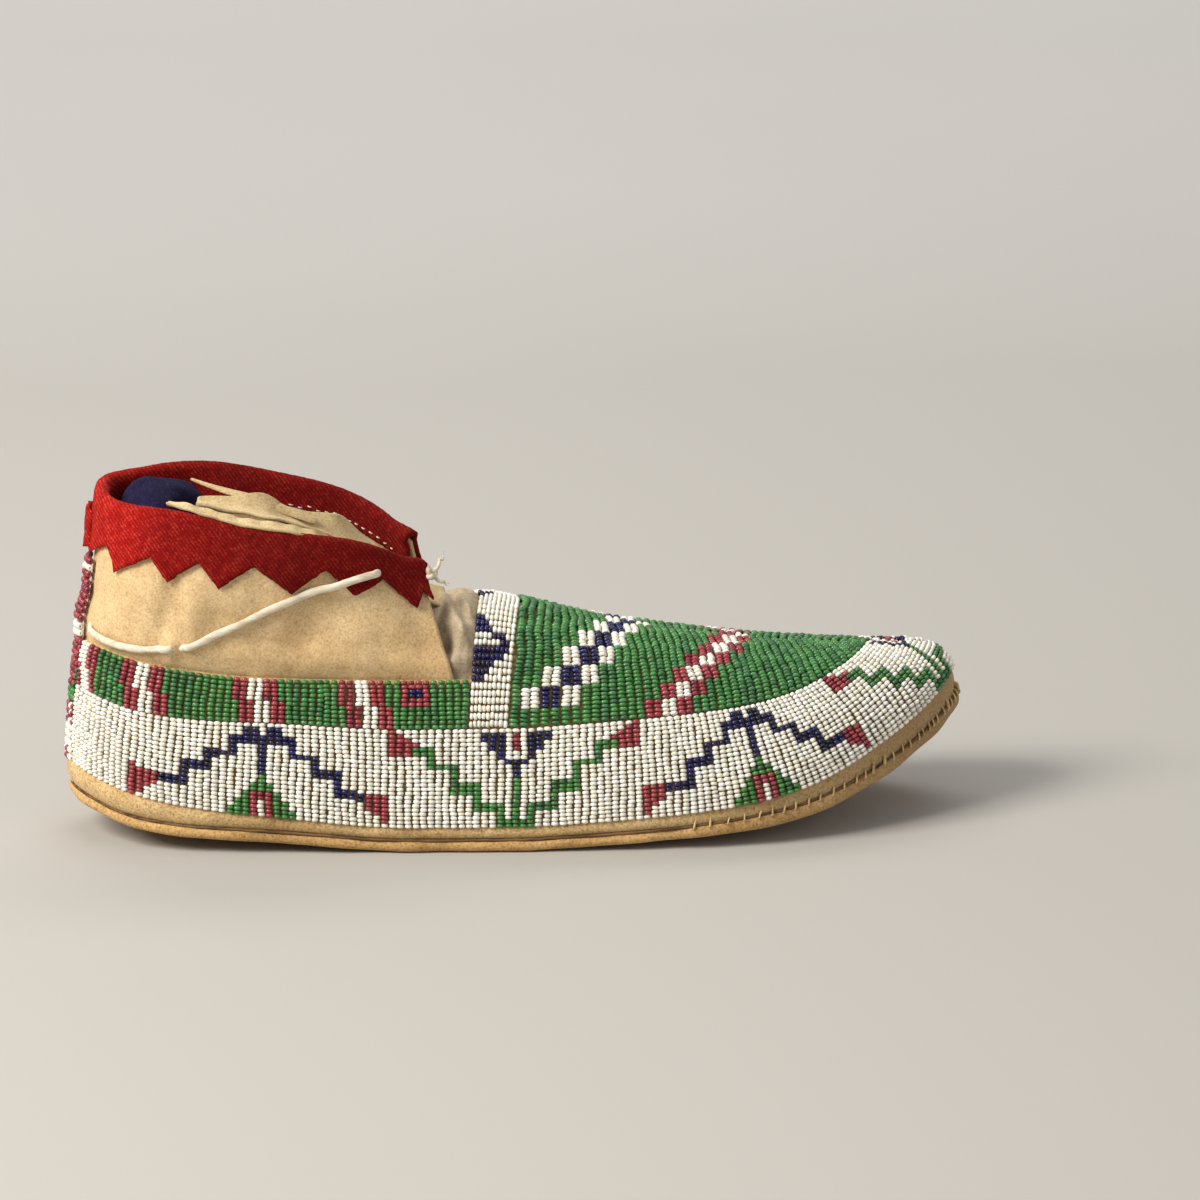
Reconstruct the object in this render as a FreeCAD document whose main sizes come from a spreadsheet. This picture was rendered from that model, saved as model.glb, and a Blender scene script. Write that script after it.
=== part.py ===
import FreeCAD, Part
import math, os
from FreeCAD import Vector as V

# Beaded hide moccasin with a rawhide sole, folded wool edging and a thong drawstring.
# X runs from heel to toe, -Y is the outer (lateral) side of a right shoe, +Z is up.
# The sole's flat stretch lies on z = 0 and holds the origin. The pieces are modelled with
# the heel near x = 0 and moved back by origin_x when finished.

os.makedirs("parts", exist_ok=True)
doc = FreeCAD.newDocument("moccasin")

# ---------------------------------------------------------------- driving dimensions (mm)
SIZES = [
    ("origin_x", 112.0), ("length_factor", 1.02),
    ("sole_thick", 3.2), ("sole_pad_height", 60.0), ("sole_pad_width", 140.0),
    ("hide_thick", 1.2), ("edge_margin", 1.4), ("ridge_gap", 0.15),
    ("throat_foot_x", 112.2), ("throat_top_x", 119.8), ("opening_width", 140.0),
    ("bead_gap", 0.3), ("bead_height", 1.7), ("heel_strip_half", 5.6),
    ("wool_thick", 1.3), ("wool_gap", 0.65), ("split_gap", 1.3),
    ("thong_radius", 1.25), ("seam_radius", 0.45),
    ("knot_core", 2.6), ("knot_minor", 1.1), ("knot_tail", 4.5),
    ("liner_low", 30.0), ("liner_tall", 68.0), ("liner_x", 25.5), ("liner_y", 2.0),
    ("liner_foot_half_x", 7.5), ("liner_foot_half_y", 12.0),
    ("liner_waist_half_x", 9.0), ("liner_waist_half_y", 15.0),
    ("tab_long", 4.3), ("tab_wide", 4.6), ("tab_thick", 1.2),
]
sheet = doc.addObject("Spreadsheet::Sheet", "Dimensions")
for row, (alias, value) in enumerate(SIZES, 1):
    sheet.set("A%d" % row, alias)
    sheet.set("B%d" % row, "%g" % value)
    sheet.setAlias("B%d" % row, alias)
doc.recompute()


def size(alias):
    return float(sheet.get(alias))


SOLE = size("sole_thick")
HIDE = size("hide_thick")
MARGIN = size("edge_margin")
BEAD_GAP = size("bead_gap")
BEAD_FACE = BEAD_GAP + size("bead_height")
STRIP_HALF = size("heel_strip_half")
WOOL_GAP = size("wool_gap")
WOOL_FACE = WOOL_GAP + size("wool_thick")
SPLIT_HALF = size("split_gap")/2
THONG = size("thong_radius")
QUARTER = math.pi/2


# ---------------------------------------------------------------- numeric helpers
def clamp(value, low, high):
    return max(low, min(high, value))


def spread(first, last, count):
    """Evenly spaced values, both ends included."""
    return [first+(last-first)*i/(count-1) for i in range(count)]


def bracket(keys, at):
    """Index of the interval of the rising keys that holds a value."""
    low, high = 0, len(keys)-1
    while high-low > 1:
        middle = (low+high)//2
        if keys[middle] > at:
            high = middle
        else:
            low = middle
    return low


def lookup(keys, values, at):
    """Linear interpolation, held constant past both ends."""
    if at <= keys[0]:
        return values[0]
    if at >= keys[-1]:
        return values[-1]
    i = bracket(keys, at)
    part = (at-keys[i])/(keys[i+1]-keys[i])
    return values[i]+part*(values[i+1]-values[i])


def halve(low, high, short_of, rounds=40):
    """Halve the range towards the value where short_of turns false."""
    for _ in range(rounds):
        middle = (low+high)/2
        if short_of(middle):
            low = middle
        else:
            high = middle
    return (low+high)/2


def spline(xs, ys):
    """Natural cubic spline through the points, carried on straight past both ends."""
    count = len(xs)
    step = [xs[i+1]-xs[i] for i in range(count-1)]
    lower, diagonal, upper, right = [0.0]*count, [1.0]*count, [0.0]*count, [0.0]*count
    for i in range(1, count-1):
        lower[i] = step[i-1]
        diagonal[i] = 2*(step[i-1]+step[i])
        upper[i] = step[i]
        right[i] = 6*((ys[i+1]-ys[i])/step[i]-(ys[i]-ys[i-1])/step[i-1])
    for i in range(1, count):
        factor = lower[i]/diagonal[i-1]
        diagonal[i] -= factor*upper[i-1]
        right[i] -= factor*right[i-1]
    bend = [0.0]*count
    bend[-1] = right[-1]/diagonal[-1]
    for i in range(count-2, -1, -1):
        bend[i] = (right[i]-upper[i]*bend[i+1])/diagonal[i]
    first_slope = (ys[1]-ys[0])/step[0]-step[0]*(2*bend[0]+bend[1])/6
    last_slope = (ys[-1]-ys[-2])/step[-1]+step[-1]*(bend[-2]+2*bend[-1])/6

    def value(x):
        if x < xs[0]:
            return ys[0]+first_slope*(x-xs[0])
        if x > xs[-1]:
            return ys[-1]+last_slope*(x-xs[-1])
        i = bracket(xs, x)
        width = xs[i+1]-xs[i]
        a = (xs[i+1]-x)/width
        b = (x-xs[i])/width
        curve = (a**3-a)*bend[i]+(b**3-b)*bend[i+1]
        return a*ys[i]+b*ys[i+1]+curve*width*width/6
    return value


# ---------------------------------------------------------------- measured form
# Each spline takes stations along X, then the value at each station.
rocker = spline(
    [-4, 3, 6, 13, 24, 36, 50, 62, 75, 88, 97, 112, 128,
     138, 150, 163, 176, 189, 202, 214, 225, 235, 245, 253, 260, 268],
    [12.0, 9.6, 8.8, 6.9, 5.0, 4.0, 3.2, 2.4, 1.3, 0.3, 0.0, 0.0, 0.0,
     0.4, 1.0, 1.8, 2.7, 3.7, 5.0, 7.2, 10.4, 14.0, 18.2, 22.0, 25.3, 28.6])
PROFILE_BACK_X, FLAT_BACK_X, FLAT_FRONT_X, PROFILE_FRONT_X = -4, 92, 132, 268


def sole_low(x):
    """Height of the sole's underside: a rocker with a flat middle."""
    return 0.0 if FLAT_BACK_X <= x <= FLAT_FRONT_X else max(0.0, rocker(x))


LATERAL, MEDIAL = -1, 1  # the sign of Y on each side

# sole edge x and y, x where the hide's rib reaches the crown, crown height (0 = on the ridge)
STATIONS = {
    LATERAL: [
        (1.0, 0, 36, 112), (5.4, -13, 38, 104), (15, -24, 42, 94), (30, -31, 50, 84),
        (55, -34.5, 62, 76), (85, -37, 88, 69), (115, -39, 122.5, 0), (150, -40.5, 151, 0),
        (178, -40.5, 177, 0), (200, -37, 197, 0), (216, -30.5, 211, 0), (231, -20.5, 223.5, 0),
        (244, -8, 233, 0), (253, 6, 240.5, 0), (256.5, 19, 245, 0)],
    MEDIAL: [
        (1.0, 0, 36, 112), (5.4, 13, 38, 104), (15, 23.5, 42, 94), (30, 30, 50, 84),
        (55, 33, 62, 76), (85, 34, 88, 69), (115, 35, 122.5, 0), (150, 37, 151, 0),
        (180, 39.5, 178, 0), (205, 40.5, 200, 0), (225, 40, 217, 0), (240, 36.5, 230, 0),
        (250, 30.5, 238.5, 0), (255, 25, 243, 0), (256.5, 19, 245, 0)],
}
# x, y, z of the cuff's rim at the first six stations and at the cuff's front end
RIM = {
    LATERAL: [(11, 0, 98.9), (14, -12.5, 98.7), (23, -22.5, 97.9), (36, -27.5, 96.2),
              (62, -27.5, 90.8), (88, -21.5, 84.5), (103, -12.5, 76.2)],
    MEDIAL: [(11, 0, 98.9), (14, 13, 99.3), (23, 24, 99.4), (36, 30, 98.6),
             (62, 30.5, 95.2), (88, 23.5, 87.8), (102, 13, 79.2)],
}
CUFF_FRONT_X = 107.0  # on the sole's edge
ridge_y = spline([95, 117, 151, 176, 200, 215, 230, 245, 255],
                 [-0.5, -1.0, -1.0, 0.0, 2.5, 5.2, 9.2, 14.5, 18.5])
ridge_z = spline([95, 117, 130, 140, 151, 163, 176, 190, 205, 220, 232, 245, 255],
                 [68.5, 66.4, 63.2, 60.4, 58.1, 55.9, 53.4, 51.0, 48.9, 46.9, 45.6, 44.6, 43.6])
topline_z = spline([5, 9, 16, 31, 48, 66, 86, 105, 125],
                   [57.4, 56.6, 55.2, 52.6, 50.4, 49.2, 48.4, 48.0, 48.0])
# Behind the ridge the crown's y drifts evenly from 0 to the ridge's first value.
CROWN_BACK_X, RIDGE_BACK_X, RIDGE_BACK_Y = 36, 95, -0.5

# widths measured up the hide: the bare band over the sole, then the two lower bead lanes
bare_width = spline([0, 20, 45, 90, 150, 190, 215, 235, 250, 262],
                    [8.0, 7.0, 5.2, 4.0, 4.0, 4.6, 6.0, 7.6, 8.2, 8.4])
low_width = spline([0, 20, 60, 100, 150, 262], [11.6, 12.2, 13.6, 14.2, 14.2, 14.0])
mid_width = spline([0, 20, 60, 100, 150, 262], [11.4, 12.0, 13.4, 13.8, 13.9, 13.6])

# depths of the wool's teeth below the rim
tip_depth = spline([8, 30, 44, 65, 83, 99, 108], [19.8, 18.8, 17.8, 15.4, 13.2, 12.2, 11.6])
valley_depth = spline([8, 30, 40, 53, 74, 90, 108], [12.2, 12.0, 11.4, 9.2, 7.2, 6.6, 6.2])
# x of the valleys and of the tip in front of each, from the heel forward;
# the cuff is split at the fourth valley
SPLIT_X = 53.5
VALLEYS = {LATERAL: [13.6, 25.4, 38.4, SPLIT_X, 73.7, 90.5],
           MEDIAL: [14.5, 27.0, 40.0, SPLIT_X, 72.0, 89.0]}
TIPS = {LATERAL: [15.9, 29.8, 44.2, 65.0, 83.0, 99.0],
        MEDIAL: [16.5, 32.0, 46.5, 63.0, 81.0, 98.0]}


# ---------------------------------------------------------------- the shoe's surfaces
class Side:
    """One side of the shoe. "along" is the distance along the sole's edge from the heel."""

    def __init__(self, sign, stretch):
        self.sign = sign
        own, other = [[(s[0]*stretch,)+s[1:] for s in STATIONS[k]] for k in (sign, -sign)]
        # two stations of the other side past each end carry the outline smoothly round
        ring = [other[2], other[1]] + own + [other[-2], other[-3]]
        chord = [0.0]
        for before, after in zip(ring, ring[1:]):
            chord.append(chord[-1]+math.dist(after[:2], before[:2]))
        chord = [c-chord[2] for c in chord]
        self.edge_x = spline(chord, [s[0] for s in ring])
        self.edge_y = spline(chord, [s[1] for s in ring])
        self.chord_end = chord[-3]

        samples = 800
        self.chords = [self.chord_end*i/samples for i in range(samples+1)]
        self.walked = [0.0]
        for before, after in zip(self.chords, self.chords[1:]):
            step = math.hypot(self.edge_x(after)-self.edge_x(before),
                              self.edge_y(after)-self.edge_y(before))
            self.walked.append(self.walked[-1]+step)
        self.length = self.walked[-1]
        at = []
        for c in chord[2:-2]:
            nearest = min(range(samples+1), key=lambda j: abs(self.chords[j]-c))
            at.append(self.walked[nearest])

        stops = [-(at[1]-at[0])] + at + [self.length+at[-1]-at[-2]]
        crown_x = [s[2] for s in own]
        crown_z = [s[3] if s[3] else ridge_z(s[2]) for s in own]
        self.crown_x = spline(stops, [crown_x[1]] + crown_x + [crown_x[-2]])
        self.crown_z = spline(stops, [crown_z[1]] + crown_z + [crown_z[-2]])
        self.cuff_front = self.along_at_x(CUFF_FRONT_X)
        stops = [-at[1]] + at[:6] + [self.cuff_front]
        self.rim = [spline(stops, [RIM[-sign][1][k]] + [p[k] for p in RIM[sign]])
                    for k in range(3)]
        self.split = self.along_cuff(SPLIT_X)

    def edge(self, along):
        """Point of the sole's outline, at z = 0."""
        if along <= 0:
            chord = along
        elif along >= self.length:
            chord = self.chord_end+(along-self.length)
        else:
            chord = lookup(self.walked, self.chords, along)
        return V(self.edge_x(chord), self.edge_y(chord), 0)

    def outward(self, along):
        """Level unit vector pointing out of the sole's outline."""
        run = self.edge(along+0.5)-self.edge(along-0.5)
        return V(-self.sign*run.y, self.sign*run.x, 0).normalize()

    def along_at_x(self, x):
        return halve(0.0, self.length, lambda a: self.edge(a).x < x, rounds=50)

    def along_ridge(self, x):
        """Where the rib that reaches the crown at x starts."""
        return halve(self.along_at_x(60), self.length, lambda a: self.crown_x(a) < x, rounds=50)

    def along_cuff(self, x, rise=0.8):
        """Where the cuff passes x at a share of its height."""
        return halve(2.0, self.cuff_front, lambda a: self.cuff_face(a, rise).x < x)

    def rib(self, along, angle):
        """Hide's outer face: angle is 0 at the sole and a quarter turn at the crown."""
        foot = self.edge(along)-self.outward(along)*MARGIN
        crown_x = self.crown_x(along)
        if crown_x > RIDGE_BACK_X:
            crown_y = ridge_y(crown_x)
        else:
            drift = (crown_x-CROWN_BACK_X)/(RIDGE_BACK_X-CROWN_BACK_X)
            crown_y = RIDGE_BACK_Y*max(0.0, drift)
        foot_z = sole_low(foot.x)+SOLE+0.1
        toe = clamp((foot.x-200)/50.0, 0.0, 1.0)  # the toe rises fuller
        across = 1-math.cos(angle)
        rise = math.sin(angle)**(1.0-0.2*toe) if angle > 0 else 0.0
        return V(foot.x+(crown_x-foot.x)*across, foot.y+(crown_y-foot.y)*across,
                 foot_z+(self.crown_z(along)-foot_z)*rise)

    def arcs(self, along, count=48):
        """Lengths up the rib and the angles that go with them."""
        angles = [(i/count)**1.3*math.pi/2 for i in range(count+1)]
        points = [self.rib(along, angle) for angle in angles]
        lengths = [0.0]
        for before, after in zip(points, points[1:]):
            lengths.append(lengths[-1]+before.distanceToPoint(after))
        return lengths, angles

    def top_angle(self, along):
        """Rib angle of the topline, where the cuff is sewn on."""
        def below(angle):
            point = self.rib(along, angle)
            return point.z < topline_z(point.x)
        return halve(0.0, QUARTER, below)

    def top_length(self, along, arcs):
        lengths, angles = arcs
        return lookup(angles, lengths, self.top_angle(along))

    def normal(self, surface, along, rise):
        """Outward unit normal of surface(along, rise), by small differences."""
        forward = surface(along+0.4, rise)-surface(along-0.4, rise)
        upward = surface(along, rise+0.02)-surface(along, rise-0.02)
        return forward.cross(upward).normalize()*-self.sign

    def hide(self, along, angle, off=0.0):
        """Point at a distance off the hide's outer face, outwards positive."""
        point = self.rib(along, angle)
        if off == 0.0:
            return point
        if angle < 0.03:
            return point+self.outward(along)*off
        return point+self.normal(self.rib, along, min(QUARTER-0.02, angle))*off

    def hide_run(self, along, arcs, low, high, off, count=7):
        """Points between two lengths up the hide."""
        return [self.hide(along, lookup(*arcs, v), off) for v in spread(low, high, count)]

    def cuff_face(self, along, rise):
        """Outer face of the cuff: rise is 0 at the topline and 1 at the rim."""
        low = self.rib(along, self.top_angle(along))
        rim = V(*[self.rim[k](along) for k in range(3)])
        # it bulges out along the sides and in at the heel
        bulge = (1.6-2.1*math.exp(-(along/13.0)**2))*4*rise*(1-rise)
        return low+(rim-low)*rise+self.outward(along)*bulge

    def cuff(self, along, rise, off=0.0):
        point = self.cuff_face(along, rise)
        if off == 0.0:
            return point
        return point+self.normal(self.cuff_face, along, rise)*off

    def cuff_height(self, along):
        return self.cuff_face(along, 0.0).distanceToPoint(self.cuff_face(along, 1.0))

    def below_rim(self, along, depth, off=0.0):
        return self.cuff(along, 1-depth/self.cuff_height(along), off)

    def tooth_x(self, along):
        """The x at which the wool's depths are read."""
        return self.cuff_face(along, 0.8).x


LAT = Side(LATERAL, size("length_factor"))
MED = Side(MEDIAL, size("length_factor"))
SIDES = {"lateral": LAT, "medial": MED}

# ---------------------------------------------------------------- modelling helpers
PIECES = []


def finish(piece):
    """Move a piece so that the origin lies on the flat of the sole, and list it for export."""
    piece.Placement = FreeCAD.Placement(V(0, 0, 0), FreeCAD.Rotation())
    piece.setExpression("Placement.Base.x", "-<<Dimensions>>.origin_x")
    PIECES.append(piece)


def add_shape(name, shape):
    holder = doc.addObject("Part::Feature", name)
    holder.Label = name
    holder.Shape = shape
    return holder


def skin(grid):
    surface = Part.BSplineSurface()
    surface.interpolate(grid)
    return surface


def closed_patch(outer, inner):
    """Solid between two grids of points, with ruled edges."""
    a, b = skin(outer), skin(inner)
    faces = [a.toShape(), b.toShape()]
    a_u0, a_u1, a_v0, a_v1 = a.bounds()
    b_u0, b_u1, b_v0, b_v1 = b.bounds()
    for curve_a, curve_b in ((a.uIso(a_u0), b.uIso(b_u0)), (a.uIso(a_u1), b.uIso(b_u1)),
                             (a.vIso(a_v0), b.vIso(b_v0)), (a.vIso(a_v1), b.vIso(b_v1))):
        faces.append(Part.makeRuledSurface(curve_a.toShape(), curve_b.toShape()))
    shell = Part.makeShell(faces)
    shell.sewShape()
    solid = Part.Solid(shell)
    if solid.Volume < 0:
        solid.reverse()
    if not solid.isValid() or solid.Volume <= 0:
        raise RuntimeError("patch is not a valid solid")
    return solid


def add_sheet(name, rows, outer_off, inner_off):
    """Piece between two offsets of a surface; rows(off) gives its grid."""
    finish(add_shape(name, closed_patch(rows(outer_off), rows(inner_off))))


def add_beads(name, rows):
    add_sheet(name, rows, BEAD_FACE, BEAD_GAP)


def tube(points, radius):
    path = Part.BSplineCurve()
    path.interpolate(points)
    start = path.tangent(path.FirstParameter)[0]
    section = Part.Wire(Part.makeCircle(radius, points[0], start))
    solid = Part.Wire(path.toShape()).makePipeShell([section], True, True)
    if solid.Volume < 0:
        solid.reverse()
    return solid


def add_tube(name, points, radius):
    finish(add_shape(name, tube(points, radius)))


def flat_sketch(body, name, role):
    """Sketch on one of a body's origin planes."""
    sketch = body.newObject("Sketcher::SketchObject", name)
    base = [f for f in body.Origin.OriginFeatures if f.Role == role][0]
    sketch.AttachmentSupport = [(base, "")]
    sketch.MapMode = "FlatFace"
    return sketch


def padded_body(name, stem, role, curves, length_alias, midplane):
    body = doc.addObject("PartDesign::Body", name)
    sketch = flat_sketch(body, stem+"_sketch", role)
    for curve in curves:
        sketch.addGeometry(curve, False)
    pad = body.newObject("PartDesign::Pad", stem+"_pad")
    pad.Profile = sketch
    pad.setExpression("Length", "<<Dimensions>>."+length_alias)
    if midplane:
        pad.Midplane = True
    return body


def smooth(points):
    curve = Part.BSplineCurve()
    curve.interpolate([V(x, z, 0) for x, z in points])
    return curve


def straight(start, end):
    return Part.LineSegment(V(*start, 0), V(*end, 0))


# ---------------------------------------------------------------- rawhide sole
def build_sole():
    """Plan outline met with the rocker profile."""
    ring = [LAT.edge(LAT.length*i/36) for i in range(36)]
    ring += [MED.edge(MED.length*(1-i/34)) for i in range(34)]
    outline = Part.BSplineCurve()
    outline.interpolate(ring, PeriodicFlag=True)
    plan = padded_body("sole_plan", "sole_plan", "XY_Plane", [outline],
                       "sole_pad_height", False)

    low_back = [(x, sole_low(x)) for x in spread(PROFILE_BACK_X, FLAT_BACK_X, 13)]
    low_front = [(x, sole_low(x)) for x in spread(FLAT_FRONT_X, PROFILE_FRONT_X, 17)]
    up_back = [(x, z+SOLE) for x, z in low_back]
    up_front = [(x, z+SOLE) for x, z in low_front]
    curves = [smooth(low_back), straight(low_back[-1], low_front[0]), smooth(low_front),
              straight(low_front[-1], up_front[-1]), smooth(up_front),
              straight(up_front[0], up_back[-1]), smooth(up_back),
              straight(up_back[0], low_back[0])]
    profile = padded_body("sole_profile", "sole_profile", "XZ_Plane", curves,
                          "sole_pad_width", True)
    doc.recompute()
    outsole = doc.addObject("Part::Common", "outsole")
    outsole.Base = plan
    outsole.Tool = profile
    outsole.Label = "outsole"
    doc.recompute()
    finish(outsole)


# ---------------------------------------------------------------- hide upper
UPPER_ANGLES = [QUARTER*(i/10)**1.15 for i in range(11)]
OPENING_XS = (-8, 0, 8, 16, 26, 38, 52, 68, 86, 104)
THROAT_TOP_Z = 75.0
OPENING_TOP_Z = 130.0


def upper_rows(off):
    """Ribs from the toe back along the medial side and forward along the lateral side."""
    stations = [(MED, MED.length*(1-i/26)) for i in range(26)]
    stations += [(LAT, LAT.length*i/27) for i in range(28)]
    rows = []
    for side, along in stations:
        row = [side.hide(along, angle, off) for angle in UPPER_ANGLES]
        # the two sides are kept apart along the crown and at the toe
        at_toe = along > side.length-0.01
        for point in (row if at_toe else row[-1:]):
            point.y += side.sign*size("ridge_gap")
        rows.append(row)
    return rows


def build_upper():
    """One wrapped shell, opened at the top of the heel half."""
    shell = add_shape("upper_shell", closed_patch(upper_rows(0.0), upper_rows(-HIDE)))
    topline = [(x, topline_z(x)) for x in OPENING_XS]
    throat_x = size("throat_foot_x")
    top_x = size("throat_top_x")
    corners = [topline[-1], (throat_x, topline_z(throat_x)), (top_x, THROAT_TOP_Z),
               (top_x, OPENING_TOP_Z), (OPENING_XS[0], OPENING_TOP_Z), topline[0]]
    curves = [smooth(topline)] + [straight(p, q) for p, q in zip(corners, corners[1:])]
    tool = padded_body("opening_tool", "opening", "XZ_Plane", curves, "opening_width", True)
    doc.recompute()
    upper = doc.addObject("Part::Cut", "upper")
    upper.Base = shell
    upper.Tool = tool
    upper.Label = "upper"
    doc.recompute()
    finish(upper)


# ---------------------------------------------------------------- bead lanes
LANE_START = STRIP_HALF+0.7
LANE_INSET = 0.2          # each lane stops this short of a shared edge
CROSS_INSET = 0.4         # the strips over the instep start this far above the mid lane
THROAT_BEADS = (120.4, 131.2)
VAMP_BEADS_BACK = 132.2


# lane edges, as lengths up the hide
def bare_edge(side, along, arcs):
    return bare_width(side.edge(along).x)


def low_edge(side, along, arcs):
    x = side.edge(along).x
    return min(bare_width(x)+low_width(x), arcs[0][-1]-0.4)


def mid_edge(side, along, arcs):
    x = side.edge(along).x
    return min(bare_width(x)+low_width(x)+mid_width(x), arcs[0][-1]-0.2)


def topline_edge(side, along, arcs):
    return side.top_length(along, arcs)-0.5


def add_lane(name, side, end, bottom, top, sections):
    """Strip along a side; bottom and top are each an edge and a shift from it."""
    def rows(off):
        grid = []
        for along in spread(LANE_START, end, sections):
            arcs = side.arcs(along)
            low, high = [edge(side, along, arcs)+shift for edge, shift in (bottom, top)]
            grid.append(side.hide_run(along, arcs, low, high, off, count=5))
        return grid
    add_beads(name, rows)


def last_along(side, edge, spare):
    """How far along a side the hide still rises the spare length above an edge."""
    along = side.length
    while along > 150:
        arcs = side.arcs(along)
        if arcs[0][-1]-edge(side, along, arcs) >= spare:
            break
        along -= 0.5
    return along


def crossing_rows(xs, edge, shift, off):
    """Rows over the instep, from an edge on the lateral side to the same on the medial."""
    grid = []
    for x in xs:
        halves = []
        for side in (LAT, MED):
            along = side.along_ridge(x)
            arcs = side.arcs(along)
            low = edge(side, along, arcs)+shift
            halves.append(side.hide_run(along, arcs, low, arcs[0][-1], off))
        lateral, medial = halves
        middle = (lateral[-1]+medial[-1])*0.5
        grid.append(lateral[:-1]+[middle]+medial[:-1][::-1])
    return grid


def heel_strip_rows(off):
    """Upright strip at the heel, from the bare band up onto the cuff."""
    grid = []
    for side, along in ((LAT, STRIP_HALF), (LAT, STRIP_HALF/2), (LAT, 0.0),
                        (MED, STRIP_HALF/2), (MED, STRIP_HALF)):
        arcs = side.arcs(along)
        top = side.top_length(along, arcs)
        row = side.hide_run(along, arcs, bare_width(0)-1.0, top, off)[:-1]
        row += [side.cuff(along, rise, off+0.3) for rise in (0.04, 0.16, 0.30, 0.42)]
        grid.append(row)
    return grid


def build_beads():
    for word, side in SIDES.items():
        add_lane("beads_low_"+word, side, side.length-0.5,
                 (bare_edge, 0.0), (low_edge, -LANE_INSET), 30)
        add_lane("beads_mid_"+word, side, last_along(side, low_edge, 4.5),
                 (low_edge, LANE_INSET), (mid_edge, -LANE_INSET), 36)
        add_lane("beads_quarter_"+word, side, side.along_ridge(THROAT_BEADS[0])-0.5,
                 (mid_edge, LANE_INSET), (topline_edge, 0.0), 16)
    vamp_front = min(s.crown_x(last_along(s, mid_edge, 4.0)) for s in (LAT, MED))
    for name, xs in (("beads_throat", spread(*THROAT_BEADS, 5)),
                     ("beads_vamp", spread(VAMP_BEADS_BACK, vamp_front, 20))):
        add_beads(name, lambda off: crossing_rows(xs, mid_edge, CROSS_INSET, off))
    add_beads("beads_heel", heel_strip_rows)


# ---------------------------------------------------------------- cuff
def heel_stations(count):
    """Round the heel from the medial split to the lateral one."""
    medial = [(MED, a) for a in spread(MED.split-SPLIT_HALF, 0.0, count)]
    lateral = [(LAT, a) for a in spread(0.0, LAT.split-SPLIT_HALF, count)]
    return medial[:-1]+lateral


def flap_stations(side, end):
    return [(side, along) for along in spread(side.split+SPLIT_HALF, end, 18)]


def cuff_rows(stations, off):
    grid = []
    for side, along in stations:
        row = [side.cuff(along, v, off) for v in (0.0, 0.06, 0.25, 0.5, 0.75, 0.92, 1.0)]
        row[0].z += 0.5  # clear of the upper's cut edge
        grid.append(row)
    return grid


def build_cuff():
    """Soft hide collar in three parts, split where the side flaps begin."""
    parts = [("heel", heel_stations(10))]
    parts += [(word, flap_stations(side, side.cuff_front)) for word, side in SIDES.items()]
    for word, stations in parts:
        add_sheet("cuff_"+word, lambda off: cuff_rows(stations, off), 0.0, -HIDE)


# ---------------------------------------------------------------- wool edging
FIRST_NOTCH_BACK = 2.5    # along the side, the back end of the rearmost notch
NOTCH_REACH = 9           # half the length of a notch cutter through the wool


def fold(side, along, off):
    """Points from the outer hem over the rim to the inner hem, off the cuff's faces."""
    x = side.tooth_x(along)
    points = [side.below_rim(along, depth, off) for depth in spread(tip_depth(x), 0.5, 6)]
    normal = side.normal(side.cuff_face, along, 0.98)
    rim = side.cuff_face(along, 1.0)
    up = (rim-side.cuff_face(along, 0.9)).normalize()
    centre = rim-normal*(HIDE/2)
    radius = HIDE/2+off
    for degrees in (30, 60, 90, 120, 150):
        turn = math.radians(degrees)
        points.append(centre+normal*(radius*math.cos(turn))+up*(radius*math.sin(turn)))
    for depth in spread(0.5, valley_depth(x)+0.9, 5):
        points.append(side.below_rim(along, depth, -HIDE-off))
    return points


def band(stations):
    """The fold's section lofted along the rim."""
    wires = []
    for station in stations:
        side, along = station
        points = fold(side, along, WOOL_FACE)+fold(side, along, WOOL_GAP)[::-1]
        if station in (stations[0], stations[-1]):
            # the end sections are flattened square to the rim
            rim = side.cuff_face(along, 1.0)
            normal = side.normal(side.cuff_face, along, 0.98)
            run = V(-normal.y, normal.x, 0).normalize()
            points = [p-run*(p-rim).dot(run) for p in points]
        wires.append(Part.makePolygon(points+[points[0]]))
    solid = Part.makeLoft(wires, True, False)
    if solid.Volume < 0:
        solid.reverse()
    return solid


def notch(side, back, valley, front):
    """Wedge that takes the wool away between two teeth."""
    apex = side.below_rim(valley, valley_depth(side.tooth_x(valley)))
    normal = side.normal(side.cuff_face, valley, 0.8)
    up = (V(0, 0, 1)-normal*normal.z).normalize()
    across = normal.cross(up)

    def flat(along, extra):
        depth = tip_depth(side.tooth_x(along))+extra
        arm = side.below_rim(along, depth)-apex
        return apex+up*arm.dot(up)+across*arm.dot(across)
    corners = [apex, flat(back, 0.1), flat(back, 7.0), flat(front, 7.0), flat(front, 0.1), apex]
    face = Part.Face(Part.makePolygon([p-normal*NOTCH_REACH for p in corners]))
    return face.extrude(normal*(2*NOTCH_REACH))


def cut_teeth(shape, ranges):
    """Cut the notches whose valleys lie in each (side, low, high) range."""
    for side, low, high in ranges:
        valleys = [side.along_cuff(x) for x in VALLEYS[side.sign]]
        tips = [side.along_cuff(x) for x in TIPS[side.sign]]
        backs = [FIRST_NOTCH_BACK]+tips[:-1]
        for back, valley, front in zip(backs, valleys, tips):
            if low-0.1 <= valley <= high+0.1:
                shape = shape.cut(notch(side, back, valley, front))
    return max(shape.Solids, key=lambda solid: solid.Volume)


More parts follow.
